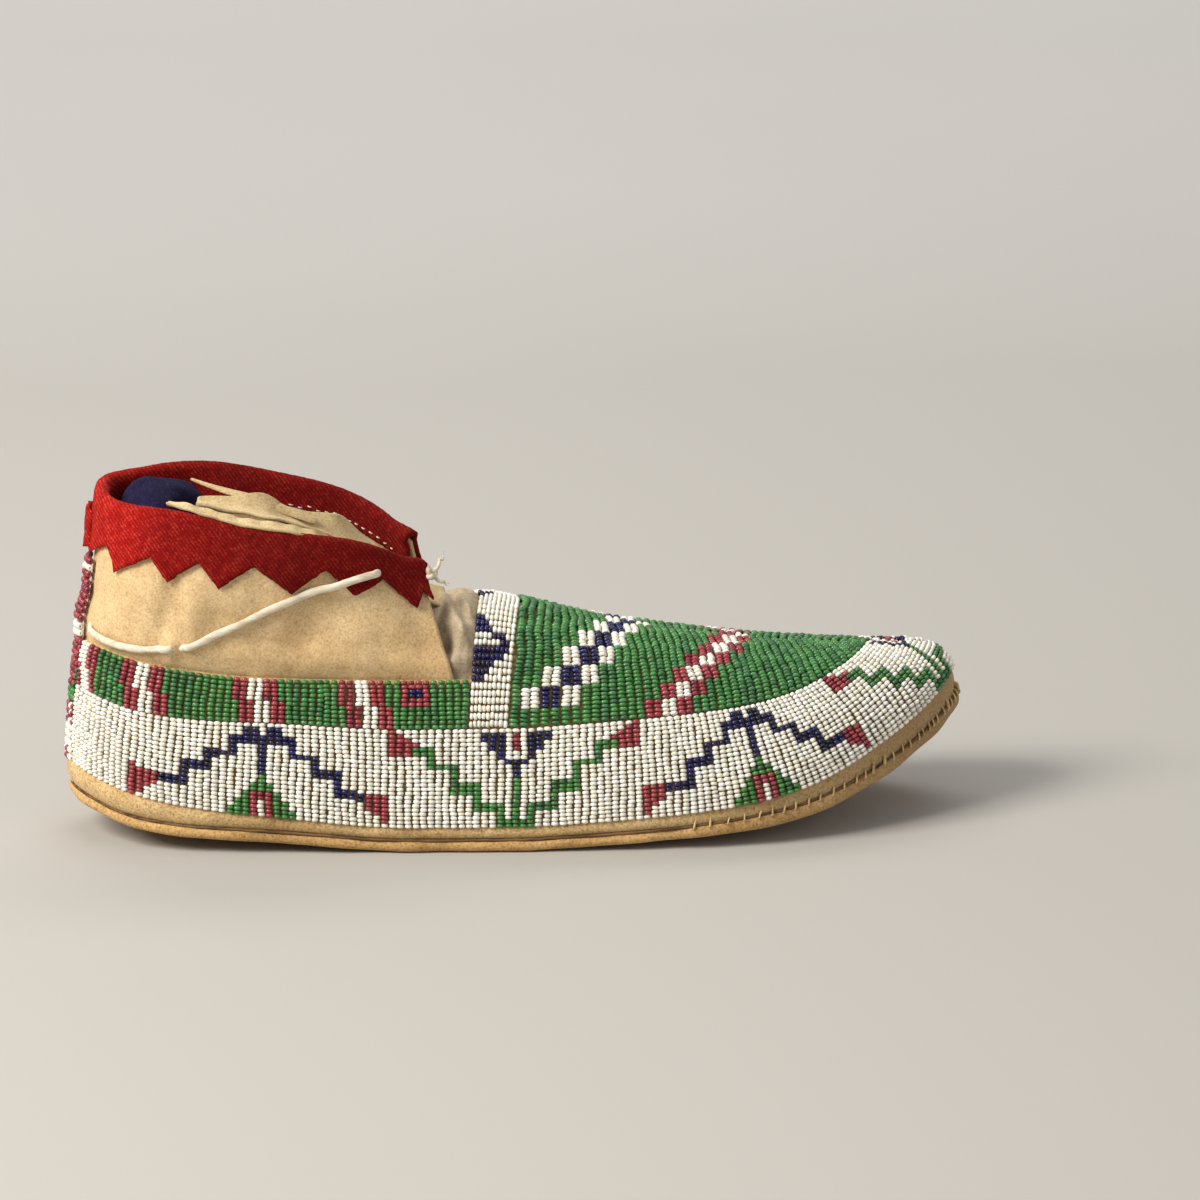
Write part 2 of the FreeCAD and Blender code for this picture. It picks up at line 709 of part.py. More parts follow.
def build_edging():
    """Wool folded over the rim, saw-toothed below."""
    ranges = [(side, 0.0, side.split) for side in (LAT, MED)]
    finish(add_shape("edging_heel", cut_teeth(band(heel_stations(12)), ranges)))
    for word, side in SIDES.items():
        wool = band(flap_stations(side, side.cuff_front-0.3))
        ranges = [(side, side.split-1, math.inf)]
        finish(add_shape("edging_"+word, cut_teeth(wool, ranges)))


# ---------------------------------------------------------------- tongue
ROOT_BACK_X, ROOT_FRONT_X = 107.5, 118.8
ROOT_OVERLAP = 4.0        # the root reaches this far below the topline
ROOT_GAP = 0.4            # between the upper and the root
FLAP_CROWN, FLAP_TILT = 1.2, 0.03
# x, lateral edge y, medial edge y, height above the root
FLAP_SPINE = [
    (107.0, -8.0, 8.0, 0.2), (103.0, -8.2, 7.0, 2.0), (98.0, -8.4, 6.0, 5.4),
    (91.0, -10.5, 3.5, 11.2), (83.0, -13.6, -1.0, 16.6), (73.0, -16.6, -6.5, 21.6),
    (62.0, -18.0, -10.0, 25.4), (51.0, -18.4, -12.0, 28.2), (43.0, -17.6, -13.6, 29.4)]


def flap_rows(root_z, off):
    grid = []
    for x, lateral_y, medial_y, rise in FLAP_SPINE:
        middle = (lateral_y+medial_y)/2
        row = []
        for part in (0, 0.25, 0.5, 0.75, 1):
            y = lateral_y+(medial_y-lateral_y)*part
            crown = FLAP_CROWN*(1-(2*part-1)**2)
            row.append(V(x, y, root_z+rise-HIDE+off+crown-FLAP_TILT*(y-middle)))
        grid.append(row)
    return grid


def build_tongue():
    """A root sewn inside the throat and a free flap with a tapered tail."""
    def root_rows(off):
        xs = spread(ROOT_BACK_X, ROOT_FRONT_X, 5)
        top = lambda side, along, arcs: side.top_length(along, arcs)
        return crossing_rows(xs, top, -ROOT_OVERLAP, off)
    add_sheet("tongue_root", root_rows, -HIDE-ROOT_GAP, -2*HIDE-ROOT_GAP)
    root_z = LAT.hide(LAT.along_ridge(ROOT_BACK_X), QUARTER, -HIDE-ROOT_GAP).z
    add_sheet("tongue_flap", lambda off: flap_rows(root_z, off), HIDE, 0.0)


# ---------------------------------------------------------------- thong drawstring
THONG_LIFT = THONG+0.35   # thong's centre line off the cuff
# distance along the side, height
THONG_HEEL = ((41, 58.8), (34, 58.6), (26, 58.6), (19, 59.0), (13, 59.8), (8.3, 60.8))
# x, height
THONG_RUN = ((33.0, 58.8), (40, 61.6), (47.5, 65.4), (55, 69.0), (62, 72.1),
             (69, 74.6), (74, 76.1), (79, 77.3), (84, 78.2), (88, 78.8))
KNOT_DEPTH = 2.5          # below the rim
KNOT_SHIFT = V(4.3, 0.6, 0)


def over_cuff_along(side, along, z):
    """Thong point at a distance along the side and a height."""
    rise = 0.2
    for _ in range(20):
        miss = z-side.cuff_face(along, rise).z
        rise = clamp(rise+miss/side.cuff_height(along), 0.0, 1.0)
    return side.cuff(along, rise, THONG_LIFT)


def over_cuff_at(side, x, z, off):
    """Point off the cuff at a given x and height."""
    along = side.along_cuff(x, 0.3)
    rise = 0.5
    for _ in range(20):
        miss = z-side.cuff_face(along, rise).z
        rise = clamp(rise+miss/max(20.0, side.cuff_height(along)), 0.0, 1.0)
        miss = x-side.cuff_face(along, rise).x
        along = clamp(along+miss*0.9, 0.2, side.cuff_front)
    return side.cuff(along, rise, off)


def build_thong():
    for word, run in (("medial", THONG_HEEL), ("lateral", THONG_HEEL[::-1])):
        points = [over_cuff_along(SIDES[word], along, z) for along, z in run]
        add_tube("thong_heel_"+word, points, THONG)
    # the front run climbs over one tooth of the wool and ends at the next notch
    for word, side in SIDES.items():
        points = []
        for x, z in THONG_RUN:
            over = clamp((x-72.0)/5.0, 0.0, 1.0)
            off = THONG_LIFT+WOOL_FACE*over*over*(3-2*over)
            if side is MED:
                z += max(0.0, x-55)*0.06
            points.append(over_cuff_at(side, x, z, off))
        add_tube("thong_"+word, points, THONG)


def build_knot():
    """Round lump with a short tail just in front of the lateral flap's upper corner."""
    centre = LAT.below_rim(LAT.cuff_front, KNOT_DEPTH, WOOL_GAP+0.6)+KNOT_SHIFT
    core = doc.addObject("Part::Sphere", "knot_core")
    core.setExpression("Radius", "<<Dimensions>>.knot_core")
    core.Placement = FreeCAD.Placement(centre, FreeCAD.Rotation(V(1, 0, 0), 20))
    tail = doc.addObject("Part::Cylinder", "knot_tail_piece")
    tail.setExpression("Radius", "<<Dimensions>>.knot_minor")
    tail.setExpression("Height", "<<Dimensions>>.knot_tail")
    tail.Placement = FreeCAD.Placement(centre, FreeCAD.Rotation(V(1, 0, 0), 35))
    knot = doc.addObject("Part::MultiFuse", "thong_knot")
    knot.Shapes = [core, tail]
    knot.Label = "thong_knot"
    doc.recompute()
    finish(knot)


# ---------------------------------------------------------------- sinew seam round the sole
SEAM_INSET = 0.7          # in from the sole's edge
SEAM_END = 0.8            # left free at heel and toe
SEAM_GAP = 0.15           # above the sole


def build_seam():
    radius = size("seam_radius")
    for word, side in SIDES.items():
        points = []
        for along in spread(SEAM_END, side.length-SEAM_END, 44):
            point = side.edge(along)-side.outward(along)*SEAM_INSET
            point.z = sole_low(point.x)+SOLE+SEAM_GAP+radius
            points.append(point)
        add_tube("seam_sole_"+word, points, radius)


# ---------------------------------------------------------------- wool liner
def build_liner():
    """A loose folded wad standing in the heel, lofted through three ovals."""
    liner = doc.addObject("PartDesign::Body", "wool_liner")
    liner.Label = "wool_liner"
    low, tall = "<<Dimensions>>.liner_low", "<<Dimensions>>.liner_tall"
    foot_x, foot_y = size("liner_foot_half_x"), size("liner_foot_half_y")
    # name, height, half width along X, half width along Y
    ovals = [
        ("liner_foot", low, foot_x, foot_y),
        ("liner_waist", low+" + "+tall+" * 0.5",
         size("liner_waist_half_x"), size("liner_waist_half_y")),
        ("liner_head", low+" + "+tall, foot_x*0.8, foot_y*0.9)]
    sketches = []
    for name, height, half_x, half_y in ovals:
        sketch = flat_sketch(liner, name, "XY_Plane")
        sketch.setExpression("AttachmentOffset.Base.z", height)
        sketch.setExpression("AttachmentOffset.Base.x", "<<Dimensions>>.liner_x")
        sketch.setExpression("AttachmentOffset.Base.y", "<<Dimensions>>.liner_y")
        sketch.addGeometry(Part.Ellipse(V(0, half_y, 0), V(half_x, 0, 0), V(0, 0, 0)), False)
        sketches.append(sketch)
    loft = liner.newObject("PartDesign::AdditiveLoft", "liner_loft")
    loft.Profile = sketches[0]
    loft.Sections = sketches[1:]
    doc.recompute()
    finish(liner)


# ---------------------------------------------------------------- heel tabs
TAB_START = 2.6           # along each side from the heel
TAB_RAISE = 1.5           # above the hide's lower edge
TAB_STANDOFF = 0.35       # out from the hide's lower edge


def build_tabs():
    """A small upright hide end low on each side of the heel."""
    half_wide = size("tab_wide")/2
    for word, side in SIDES.items():
        along = TAB_START+half_wide
        outward = side.outward(along)
        sideways = V(-outward.y, outward.x, 0)
        base = side.hide(along, 0.0)+V(0, 0, TAB_RAISE)+outward*TAB_STANDOFF
        tab = doc.addObject("Part::Box", "heel_tab_"+word)
        tab.Label = "heel_tab_"+word
        tab.setExpression("Length", "<<Dimensions>>.tab_thick")
        tab.setExpression("Width", "<<Dimensions>>.tab_wide")
        tab.setExpression("Height", "<<Dimensions>>.tab_long")
        doc.recompute()
        heading = math.degrees(math.atan2(outward.y, outward.x))
        tab.Placement = FreeCAD.Placement(base-sideways*half_wide,
                                          FreeCAD.Rotation(V(0, 0, 1), heading))
        tab.setExpression("Placement.Base.x",
                          "%.6f - <<Dimensions>>.origin_x" % tab.Placement.Base.x)
        PIECES.append(tab)


# ---------------------------------------------------------------- build, check and export
for build in (build_sole, build_upper, build_beads, build_cuff, build_edging, build_tongue,
              build_thong, build_knot, build_seam, build_liner, build_tabs):
    build()
doc.recompute()

for member in doc.Objects:
    if any(state in ("Invalid", "Error") for state in member.State):
        raise RuntimeError("%s is %s" % (member.Name, member.State))
for piece in PIECES:
    shape = piece.Shape
    if shape.isNull() or not shape.isValid() or shape.Volume <= 0:
        raise RuntimeError("%s has no valid solid" % piece.Label)
for piece in PIECES:
    piece.Shape.exportStep("parts/%s.step" % piece.Label)
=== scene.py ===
"""A beaded hide shoe with a rawhide sole, a soft cuff edged in red wool, a tongue, a thong
drawstring and a navy wool wad in the heel.

Shapes are worked out in millimetres: x runs from the heel (0) to the toe, y is negative on the
lateral side and positive on the medial side, and z is up from the floor. build() moves the x
origin to ORIGIN_X and turns the sizes into metres.
"""
import math
from bisect import bisect_right

import bpy
import bmesh
import numpy as np
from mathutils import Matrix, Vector, noise


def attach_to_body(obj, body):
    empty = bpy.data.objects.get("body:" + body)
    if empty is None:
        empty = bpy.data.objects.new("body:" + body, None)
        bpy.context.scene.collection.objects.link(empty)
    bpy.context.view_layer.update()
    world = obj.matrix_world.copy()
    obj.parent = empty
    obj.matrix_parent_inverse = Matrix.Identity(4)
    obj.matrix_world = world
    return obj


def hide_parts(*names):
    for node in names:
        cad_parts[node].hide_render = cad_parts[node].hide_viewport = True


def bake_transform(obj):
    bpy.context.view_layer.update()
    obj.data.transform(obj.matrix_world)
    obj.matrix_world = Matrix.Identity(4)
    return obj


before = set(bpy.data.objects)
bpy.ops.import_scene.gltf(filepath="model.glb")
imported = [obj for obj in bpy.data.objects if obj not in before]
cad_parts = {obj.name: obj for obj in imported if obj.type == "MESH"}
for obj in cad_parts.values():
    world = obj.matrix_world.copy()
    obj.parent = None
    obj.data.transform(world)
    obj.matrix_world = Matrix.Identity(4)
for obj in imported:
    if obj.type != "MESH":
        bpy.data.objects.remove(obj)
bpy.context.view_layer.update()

ORIGIN_X = 112.0
MARGIN = 1.4          # from the sole's edge in to the foot of the hide
SOLE_THICK = 3.2
HIDE_THICK = 1.2
WOOL_THICK = 1.35
STRETCH = 1.02        # lengthening of the sole's edge stations
CUFF_FRONT_X = 107.0
CROWN_FROM_X = 95     # the two sides meet on a ridge forward of here


# ---------------------------------------------------------------- curves and small tools
def spline(xs, ys):
    """Natural cubic spline through the points, straight past both ends."""
    count = len(xs)
    gap = [xs[i+1]-xs[i] for i in range(count-1)]
    diagonal, right, bend = [1.0]*count, [0.0]*count, [0.0]*count
    for i in range(1, count-1):
        diagonal[i] = 2*(gap[i-1]+gap[i])
        right[i] = 6*((ys[i+1]-ys[i])/gap[i]-(ys[i]-ys[i-1])/gap[i-1])
        if i > 1:
            factor = gap[i-1]/diagonal[i-1]
            diagonal[i] -= factor*gap[i-1]
            right[i] -= factor*right[i-1]
    for i in range(count-2, 0, -1):
        bend[i] = (right[i]-gap[i]*bend[i+1])/diagonal[i]

    def curve(x):
        if x < xs[0]:
            slope = (ys[1]-ys[0])/gap[0]-gap[0]*(2*bend[0]+bend[1])/6
            return ys[0]+slope*(x-xs[0])
        if x > xs[-1]:
            slope = (ys[-1]-ys[-2])/gap[-1]+gap[-1]*(bend[-2]+2*bend[-1])/6
            return ys[-1]+slope*(x-xs[-1])
        i = min(bisect_right(xs, x)-1, count-2)
        before, after = (xs[i+1]-x)/gap[i], (x-xs[i])/gap[i]
        cubic = (before**3-before)*bend[i]+(after**3-after)*bend[i+1]
        return before*ys[i]+after*ys[i+1]+cubic*gap[i]*gap[i]/6
    return curve


def spline_path(points, count):
    """Smooth curve through points, sampled at even spacing."""
    points = np.asarray(points, float)
    run = running_length(points)
    curves = [spline(list(run), list(column)) for column in points.T]
    fine = np.linspace(0, run[-1], max(count*3, 60))
    length = running_length(np.array([[c(q) for c in curves] for q in fine]))
    even = np.interp(np.linspace(0, length[-1], count), length, fine)
    return np.array([[c(q) for c in curves] for q in even])


def running_length(points):
    """Distance along a row of points; only x, y and z count."""
    steps = np.linalg.norm(np.diff(points[:, :3], axis=0), axis=1)
    return np.concatenate([[0], np.cumsum(steps)])


def unit(a):
    return a/np.maximum(np.linalg.norm(a, axis=-1, keepdims=True), 1e-12)


def smooth(start, end, x):
    t = np.clip((x-start)/(end-start), 0, 1)
    return t*t*(3-2*t)


def bell(offset, width):
    return np.exp(-(offset/width)**2)


def waves(seed, count, shortest, longest):
    """Smooth pseudo-random function of two lengths, about -1 to 1, with given wavelengths."""
    draw = np.random.RandomState(seed)
    rate = 2*math.pi/np.exp(draw.uniform(math.log(shortest), math.log(longest), count))
    angle = draw.uniform(0, 2*math.pi, count)
    phase = draw.uniform(0, 2*math.pi, count)

    def height(u, v):
        u, v = np.asarray(u, float), np.asarray(v, float)
        total = 0
        for k, a, p in zip(rate, angle, phase):
            total = total+np.sin(k*(u*math.cos(a)+v*math.sin(a))+p)
        return total/math.sqrt(count)/1.2
    return height


def noise3(points, scale, seed):
    """Smooth noise at each point."""
    return np.array([noise.noise(Vector((x*scale+seed, y*scale, z*scale))) for x, y, z in points])


# ---------------------------------------------------------------- mesh tools
def grid_faces(rows, cols, close_rows=False, close_cols=False, flip=False):
    i, j = np.meshgrid(np.arange(rows if close_rows else rows-1),
                       np.arange(cols if close_cols else cols-1), indexing="ij")
    i2, j2 = (i+1) % rows, (j+1) % cols
    faces = np.stack([i*cols+j, i2*cols+j, i2*cols+j2, i*cols+j2], -1).reshape(-1, 4)
    return faces[:, ::-1] if flip else faces


def shell(outer, inner):
    """A closed skin between two grids of points."""
    rows, cols = outer.shape[:2]
    count = rows*cols
    number = np.arange(count).reshape(rows, cols)
    faces = [grid_faces(rows, cols), grid_faces(rows, cols, flip=True)+count]
    for rim in (number[:, 0], number[::-1, -1], number[0, ::-1], number[-1]):
        start, end = rim[:-1], rim[1:]
        faces.append(np.stack([end, start, start+count, end+count], -1))
    return np.concatenate([outer.reshape(-1, 3), inner.reshape(-1, 3)]), np.concatenate(faces)


def cord(path, across, thick=None, around=10, facing=None):
    """An elliptic cord along points: radius across, and radius thick along the facing normal."""
    path = np.asarray(path, float)
    count = len(path)
    across = np.broadcast_to(np.asarray(across, float), (count,))
    thick = across if thick is None else np.broadcast_to(np.asarray(thick, float), (count,))
    along = unit(np.gradient(path, axis=0))
    if facing is None:
        last = np.array([0.3, 0.2, 1.0])
        ups = []
        for t in along:
            last = last-t*(last@t)
            last = last/np.linalg.norm(last)
            ups.append(last)
        up = np.array(ups)
    else:
        facing = np.broadcast_to(np.asarray(facing, float), (count, 3))
        up = unit(facing-along*np.sum(facing*along, 1, keepdims=True))
    side = np.cross(along, up)
    # one more, smaller ring rounds off each end
    repeat = np.concatenate([[0], np.arange(count), [count-1]])
    shrink = np.ones(count+2)
    shrink[[0, -1]] = 0.45
    path = path[repeat]
    path[0] -= along[0]*across[0]*0.6
    path[-1] += along[-1]*across[-1]*0.6
    across, thick = across[repeat]*shrink, thick[repeat]*shrink
    turn = np.arange(around)*2*math.pi/around
    rings = (path[:, None, :]+side[repeat][:, None, :]*(across[:, None]*np.cos(turn))[..., None]
             + up[repeat][:, None, :]*(thick[:, None]*np.sin(turn))[..., None])
    points = np.concatenate([rings.reshape(-1, 3), [rings[0].mean(0), rings[-1].mean(0)]])
    last_ring, centre = (count+1)*around, (count+2)*around
    ends = [[j, (j+1) % around, centre] for j in range(around)]
    ends += [[last_ring+(j+1) % around, last_ring+j, centre+1] for j in range(around)]
    return points, grid_faces(count+2, around, False, True), np.array(ends)


def uneven(count, seed, amount):
    """Slightly uneven thickness along a cord."""
    draw = np.random.RandomState(seed).normal(0, 1, count)
    return 1+amount*np.convolve(draw, np.ones(5)/5, "same")


def tidy(mesh, merge):
    """Merge points closer than merge (mm) if it is given, and turn every face outwards."""
    work = bmesh.new()
    work.from_mesh(mesh)
    if merge:
        bmesh.ops.remove_doubles(work, verts=work.verts, dist=merge/1000.0)
        bmesh.ops.dissolve_degenerate(work, edges=work.edges, dist=1e-7)
        loose = [v for v in work.verts if not v.link_faces]
        bmesh.ops.delete(work, geom=loose, context="VERTS")
    bmesh.ops.recalc_face_normals(work, faces=work.faces)
    work.to_mesh(mesh)
    work.free()


def build(name, parts, materials, merge=0.02, subdivisions=0, face_materials=None):
    """One object from (points, quads[, triangles]) parts in mm."""
    points, quads, triangles = [], [], []
    start = 0
    for part in parts:
        own = part[0].reshape(-1, 3)
        points.append(own)
        quads += (part[1]+start).tolist()
        for ends in part[2:]:
            triangles += (ends+start).tolist()
        start += len(own)
    name += "_look"
    mesh = bpy.data.meshes.new(name)
    metres = (np.concatenate(points)-np.array([ORIGIN_X, 0, 0]))/1000.0
    mesh.from_pydata(metres, [], quads+triangles)
    for material in materials if isinstance(materials, list) else [materials]:
        mesh.materials.append(material)
    if face_materials is not None:
        mesh.polygons.foreach_set("material_index", np.asarray(face_materials, np.int32))
    ob = bpy.data.objects.new(name, mesh)
    bpy.context.scene.collection.objects.link(ob)
    if merge:
        tidy(mesh, merge)
    if subdivisions:
        modifier = ob.modifiers.new("sub", "SUBSURF")
        modifier.levels = modifier.render_levels = subdivisions
        graph = bpy.context.evaluated_depsgraph_get()
        fine = bpy.data.meshes.new_from_object(ob.evaluated_get(graph), depsgraph=graph)
        ob.modifiers.clear()
        ob.data = fine
        fine.name = name
    ob.data.polygons.foreach_set("use_smooth", np.ones(len(ob.data.polygons), bool))
    ob.data.update()
    return ob


def attach(piece, replaced, part="shoe"):
    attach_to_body(piece, part)
    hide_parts(replaced)


def attach_flap(piece, side, slot, *replaced):
    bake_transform(piece)
    if replaced:
        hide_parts(*replaced)


# ---------------------------------------------------------------- measured form
# height of the sole's underside along x: a rocker with a flat middle
underside = spline(
    [-4, 3, 6, 13, 24, 36, 50, 62, 75, 88, 97, 112, 128,
     138, 150, 163, 176, 189, 202, 214, 225, 235, 245, 253, 260, 268],
    [12.0, 9.6, 8.8, 6.9, 5.0, 4.0, 3.2, 2.4, 1.3, 0.3, 0.0, 0.0, 0.0,
     0.4, 1.0, 1.8, 2.7, 3.7, 5.0, 7.2, 10.4, 14.0, 18.2, 22.0, 25.3, 28.6])


def sole_z(x):
    return 0.0 if 92 <= x <= 132 else max(0.0, underside(x))


# sole edge x and y, x where the hide's rib reaches the crown, crown height (0 = on the ridge)
STATIONS = {
    -1: [(1.0, 0, 36, 112), (5.4, -13, 38, 104), (15, -24, 42, 94), (30, -31, 50, 84),
         (55, -34.5, 62, 76), (85, -37, 88, 69), (115, -39, 122.5, 0), (150, -40.5, 151, 0),
         (178, -40.5, 177, 0), (200, -37, 197, 0), (216, -30.5, 211, 0), (231, -20.5, 223.5, 0),
         (244, -8, 233, 0), (253, 6, 240.5, 0), (256.5, 19, 245, 0)],
    1: [(1.0, 0, 36, 112), (5.4, 13, 38, 104), (15, 23.5, 42, 94), (30, 30, 50, 84),
        (55, 33, 62, 76), (85, 34, 88, 69), (115, 35, 122.5, 0), (150, 37, 151, 0),
        (180, 39.5, 178, 0), (205, 40.5, 200, 0), (225, 40, 217, 0), (240, 36.5, 230, 0),
        (250, 30.5, 238.5, 0), (255, 25, 243, 0), (256.5, 19, 245, 0)],
}
# x, y, z of the cuff's rim from the heel forwards
RIM = {
    -1: [(11, 0, 98.9), (14, -12.5, 98.7), (23, -22.5, 97.9), (36, -27.5, 96.2),
         (62, -27.5, 90.8), (88, -21.5, 84.5), (103, -12.5, 76.2)],
    1: [(11, 0, 98.9), (14, 13, 99.3), (23, 24, 99.4), (36, 30, 98.6),
        (62, 30.5, 95.2), (88, 23.5, 87.8), (102, 13, 79.2)],
}
# the ridge over the instep and toe, along x
ridge_y = spline([95, 117, 151, 176, 200, 215, 230, 245, 255],
                 [-0.5, -1.0, -1.0, 0.0, 2.5, 5.2, 9.2, 14.5, 18.5])
ridge_z = spline([95, 117, 130, 140, 151, 163, 176, 190, 205, 220, 232, 245, 255],
                 [68.5, 66.4, 63.2, 60.4, 58.1, 55.9, 53.4, 51.0, 48.9, 46.9, 45.6, 44.6, 43.6])
# height of the topline, where the cuff is sewn on
topline_z = spline([5, 9, 16, 31, 48, 66, 86, 105, 125],
                   [57.4, 56.6, 55.2, 52.6, 50.4, 49.2, 48.4, 48.0, 48.0])
# widths up the hide along x: bare strip above the sole, then two lanes of beads
bare_width = spline([0, 20, 45, 90, 150, 190, 215, 235, 250, 262],
                    [8.0, 7.0, 5.2, 4.0, 4.0, 4.6, 6.0, 7.6, 8.2, 8.4])
low_width = spline([0, 20, 60, 100, 150, 262], [11.6, 12.2, 13.6, 14.2, 14.2, 14.0])
mid_width = spline([0, 20, 60, 100, 150, 262], [11.4, 12.0, 13.4, 13.8, 13.9, 13.6])
# depth of the wool edging below the rim at its points and in its valleys
tip_depth = spline([8, 30, 44, 65, 83, 99, 108], [19.8, 18.8, 17.8, 15.4, 13.2, 12.2, 11.6])
valley_depth = spline([8, 30, 40, 53, 74, 90, 108], [12.2, 12.0, 11.4, 9.2, 7.2, 6.6, 6.2])
# lean of the lateral strands towards the heel as they climb, along x
SLANT_X = [160, 175, 190, 205, 216, 231, 244, 252, 258, 263]
SLANT = [0.0, -0.04, -0.12, -0.25, -0.36, -0.48, -0.42, -0.24, -0.08, 0.0]


class Side:
    """Hide of one side: sign is -1 for lateral and 1 for medial.

    l is the distance along the sole's edge from the heel; arc is the distance up the hide.
    """
    def __init__(self, sign):
        self.sign = sign
        self.word = "lateral" if sign < 0 else "medial"
        own, other = ([(p[0]*STRETCH,)+p[1:] for p in STATIONS[s]] for s in (sign, -sign))
        edge = [other[2], other[1]]+own+[other[-2], other[-3]]
        run = [0.0]
        for before, after in zip(edge, edge[1:]):
            run.append(run[-1]+math.dist(after[:2], before[:2]))
        run = [r-run[2] for r in run]
        self.edge_x = spline(run, [p[0] for p in edge])
        self.edge_y = spline(run, [p[1] for p in edge])
        self.run_end = run[-3]
        samples = 800
        runs = [self.run_end*i/samples for i in range(samples+1)]
        path = [(self.edge_x(r), self.edge_y(r)) for r in runs]
        lengths = [0.0]
        for before, after in zip(path, path[1:]):
            lengths.append(lengths[-1]+math.dist(after, before))
        self.length = lengths[-1]
        self.length_table, self.run_table = np.array(lengths), np.array(runs)
        at_station = [lengths[min(range(samples+1), key=lambda i: abs(runs[i]-r))]
                      for r in run[2:-2]]
        knots = [-(at_station[1]-at_station[0])]+at_station
        knots += [self.length+at_station[-1]-at_station[-2]]
        crown = [p[3] or ridge_z(p[2]) for p in own]
        self.crown_x = spline(knots, [own[1][2]]+[p[2] for p in own]+[own[-2][2]])
        self.crown_z = spline(knots, [crown[1]]+crown+[crown[-2]])
        self.front = self.l_at_x(CUFF_FRONT_X)
        knots = [-at_station[1]]+at_station[:6]+[self.front]
        self.rim = [spline(knots, [RIM[-sign][1][k]]+[p[k] for p in RIM[sign]])
                    for k in range(3)]
        self.make_tables()

    def make_tables(self):
        self.ls = np.arange(-3.0, self.length+3.01, 1.0)
        self.turns = np.array([(i/60.0)**1.3*math.pi/2 for i in range(61)])
        self.points = np.array([[self.rib(l, turn) for turn in self.turns] for l in self.ls])
        self.normals = unit(-self.sign*np.cross(np.gradient(self.points, axis=0),
                                                np.gradient(self.points, axis=1)))
        steps = np.linalg.norm(np.diff(self.points, axis=1), axis=2)
        self.arcs = np.concatenate([np.zeros((len(self.ls), 1)), np.cumsum(steps, axis=1)],
                                   axis=1)
        self.topline_cache = {}
        self.crown_ls = np.arange(self.l_at_x(60), self.length+0.01, 0.5)
        self.crown_xs = np.array([self.crown_x(l) for l in self.crown_ls])
        self.bound_ls = np.arange(0.0, self.length+0.01, 1.0)
        self.bounds = [np.array([bound(l) for l in self.bound_ls])
                       for bound in (self.bare_top, self.low_top, self.mid_top)]
        self.slants = np.array([np.interp(self.foot(l)[0], SLANT_X, SLANT)
                                if self.sign < 0 else 0.0 for l in self.bound_ls])

    def foot(self, l):
        """x and y of the sole's edge."""
        if l <= 0:
            run = l
        elif l >= self.length:
            run = self.run_end+(l-self.length)
        else:
            run = float(np.interp(l, self.length_table, self.run_table))
        return self.edge_x(run), self.edge_y(run)

    def l_at_x(self, x):
        low, high = 0.0, self.length
        for _ in range(50):
            middle = (low+high)/2
            if self.foot(middle)[0] < x:
                low = middle
            else:
                high = middle
        return (low+high)/2

    def l_at_crown(self, x):
        return float(np.interp(x, self.crown_xs, self.crown_ls))

    def outward(self, l):
        """Level direction square to the sole's edge."""
        before, after = self.foot(l-0.5), self.foot(l+0.5)
        dx, dy = after[0]-before[0], after[1]-before[1]
        size = math.hypot(dx, dy)
        return (-self.sign*dy/size, self.sign*dx/size)

    def outward3(self, l):
        return np.array(self.outward(l)+(0.0,))

    def rib(self, l, turn):
        """Outer face of the hide: turn is 0 at the sole and a quarter turn at the crown."""
        x, y = self.foot(l)
        out = self.outward(l)
        x -= MARGIN*out[0]
        y -= MARGIN*out[1]
        crown_x = self.crown_x(l)
        if crown_x > CROWN_FROM_X:
            crown_y = ridge_y(crown_x)
        else:
            crown_y = -0.5*max(0.0, (crown_x-36)/59.0)
        foot_z = sole_z(x)+SOLE_THICK+0.1
        toe = max(0.0, min(1.0, (x-200)/50.0))
        inward = 1-math.cos(turn)
        upward = math.sin(turn)**(1.0-0.2*toe) if turn > 0 else 0.0
        return (x+(crown_x-x)*inward, y+(crown_y-y)*inward,
                foot_z+(self.crown_z(l)-foot_z)*upward)

    def topline_turn(self, l):
        low, high = 0.0, math.pi/2
        for _ in range(40):
            middle = (low+high)/2
            point = self.rib(l, middle)
            if point[2] < topline_z(point[0]):
                low = middle
            else:
                high = middle
        return (low+high)/2

    def row(self, l):
        """Points, normals and arcs up the hide at l."""
        place = l-self.ls[0]
        i = int(min(max(math.floor(place), 0), len(self.ls)-2))
        part = place-i
        points, normals, arcs = (table[i]*(1-part)+table[i+1]*part
                                 for table in (self.points, self.normals, self.arcs))
        return points, unit(normals), arcs

    def at(self, l, arcs):
        points, normals, own = self.row(l)
        arcs = np.asarray(arcs, float)
        points, normals = (np.stack([np.interp(arcs, own, table[:, c]) for c in range(3)], -1)
                           for table in (points, normals))
        return points, unit(normals)

    def at_each(self, ls, arcs):
        found = [self.at(l, [arc]) for l, arc in zip(ls, arcs)]
        return np.array([p[0] for p, _ in found]), np.array([n[0] for _, n in found])

    # arcs of the boundaries up the hide
    def end(self, l):
        return self.row(l)[2][-1]

    def topline(self, l):
        key = round(l, 3)
        if key not in self.topline_cache:
            arc = float(np.interp(self.topline_turn(l), self.turns, self.row(l)[2]))
            self.topline_cache[key] = arc
        return self.topline_cache[key]

    def bare_top(self, l):
        return bare_width(self.foot(l)[0])

    def low_top(self, l):
        x = self.foot(l)[0]
        return min(bare_width(x)+low_width(x), self.end(l)-0.4)

    def mid_top(self, l):
        x = self.foot(l)[0]
        return min(bare_width(x)+low_width(x)+mid_width(x), self.end(l)-0.2)

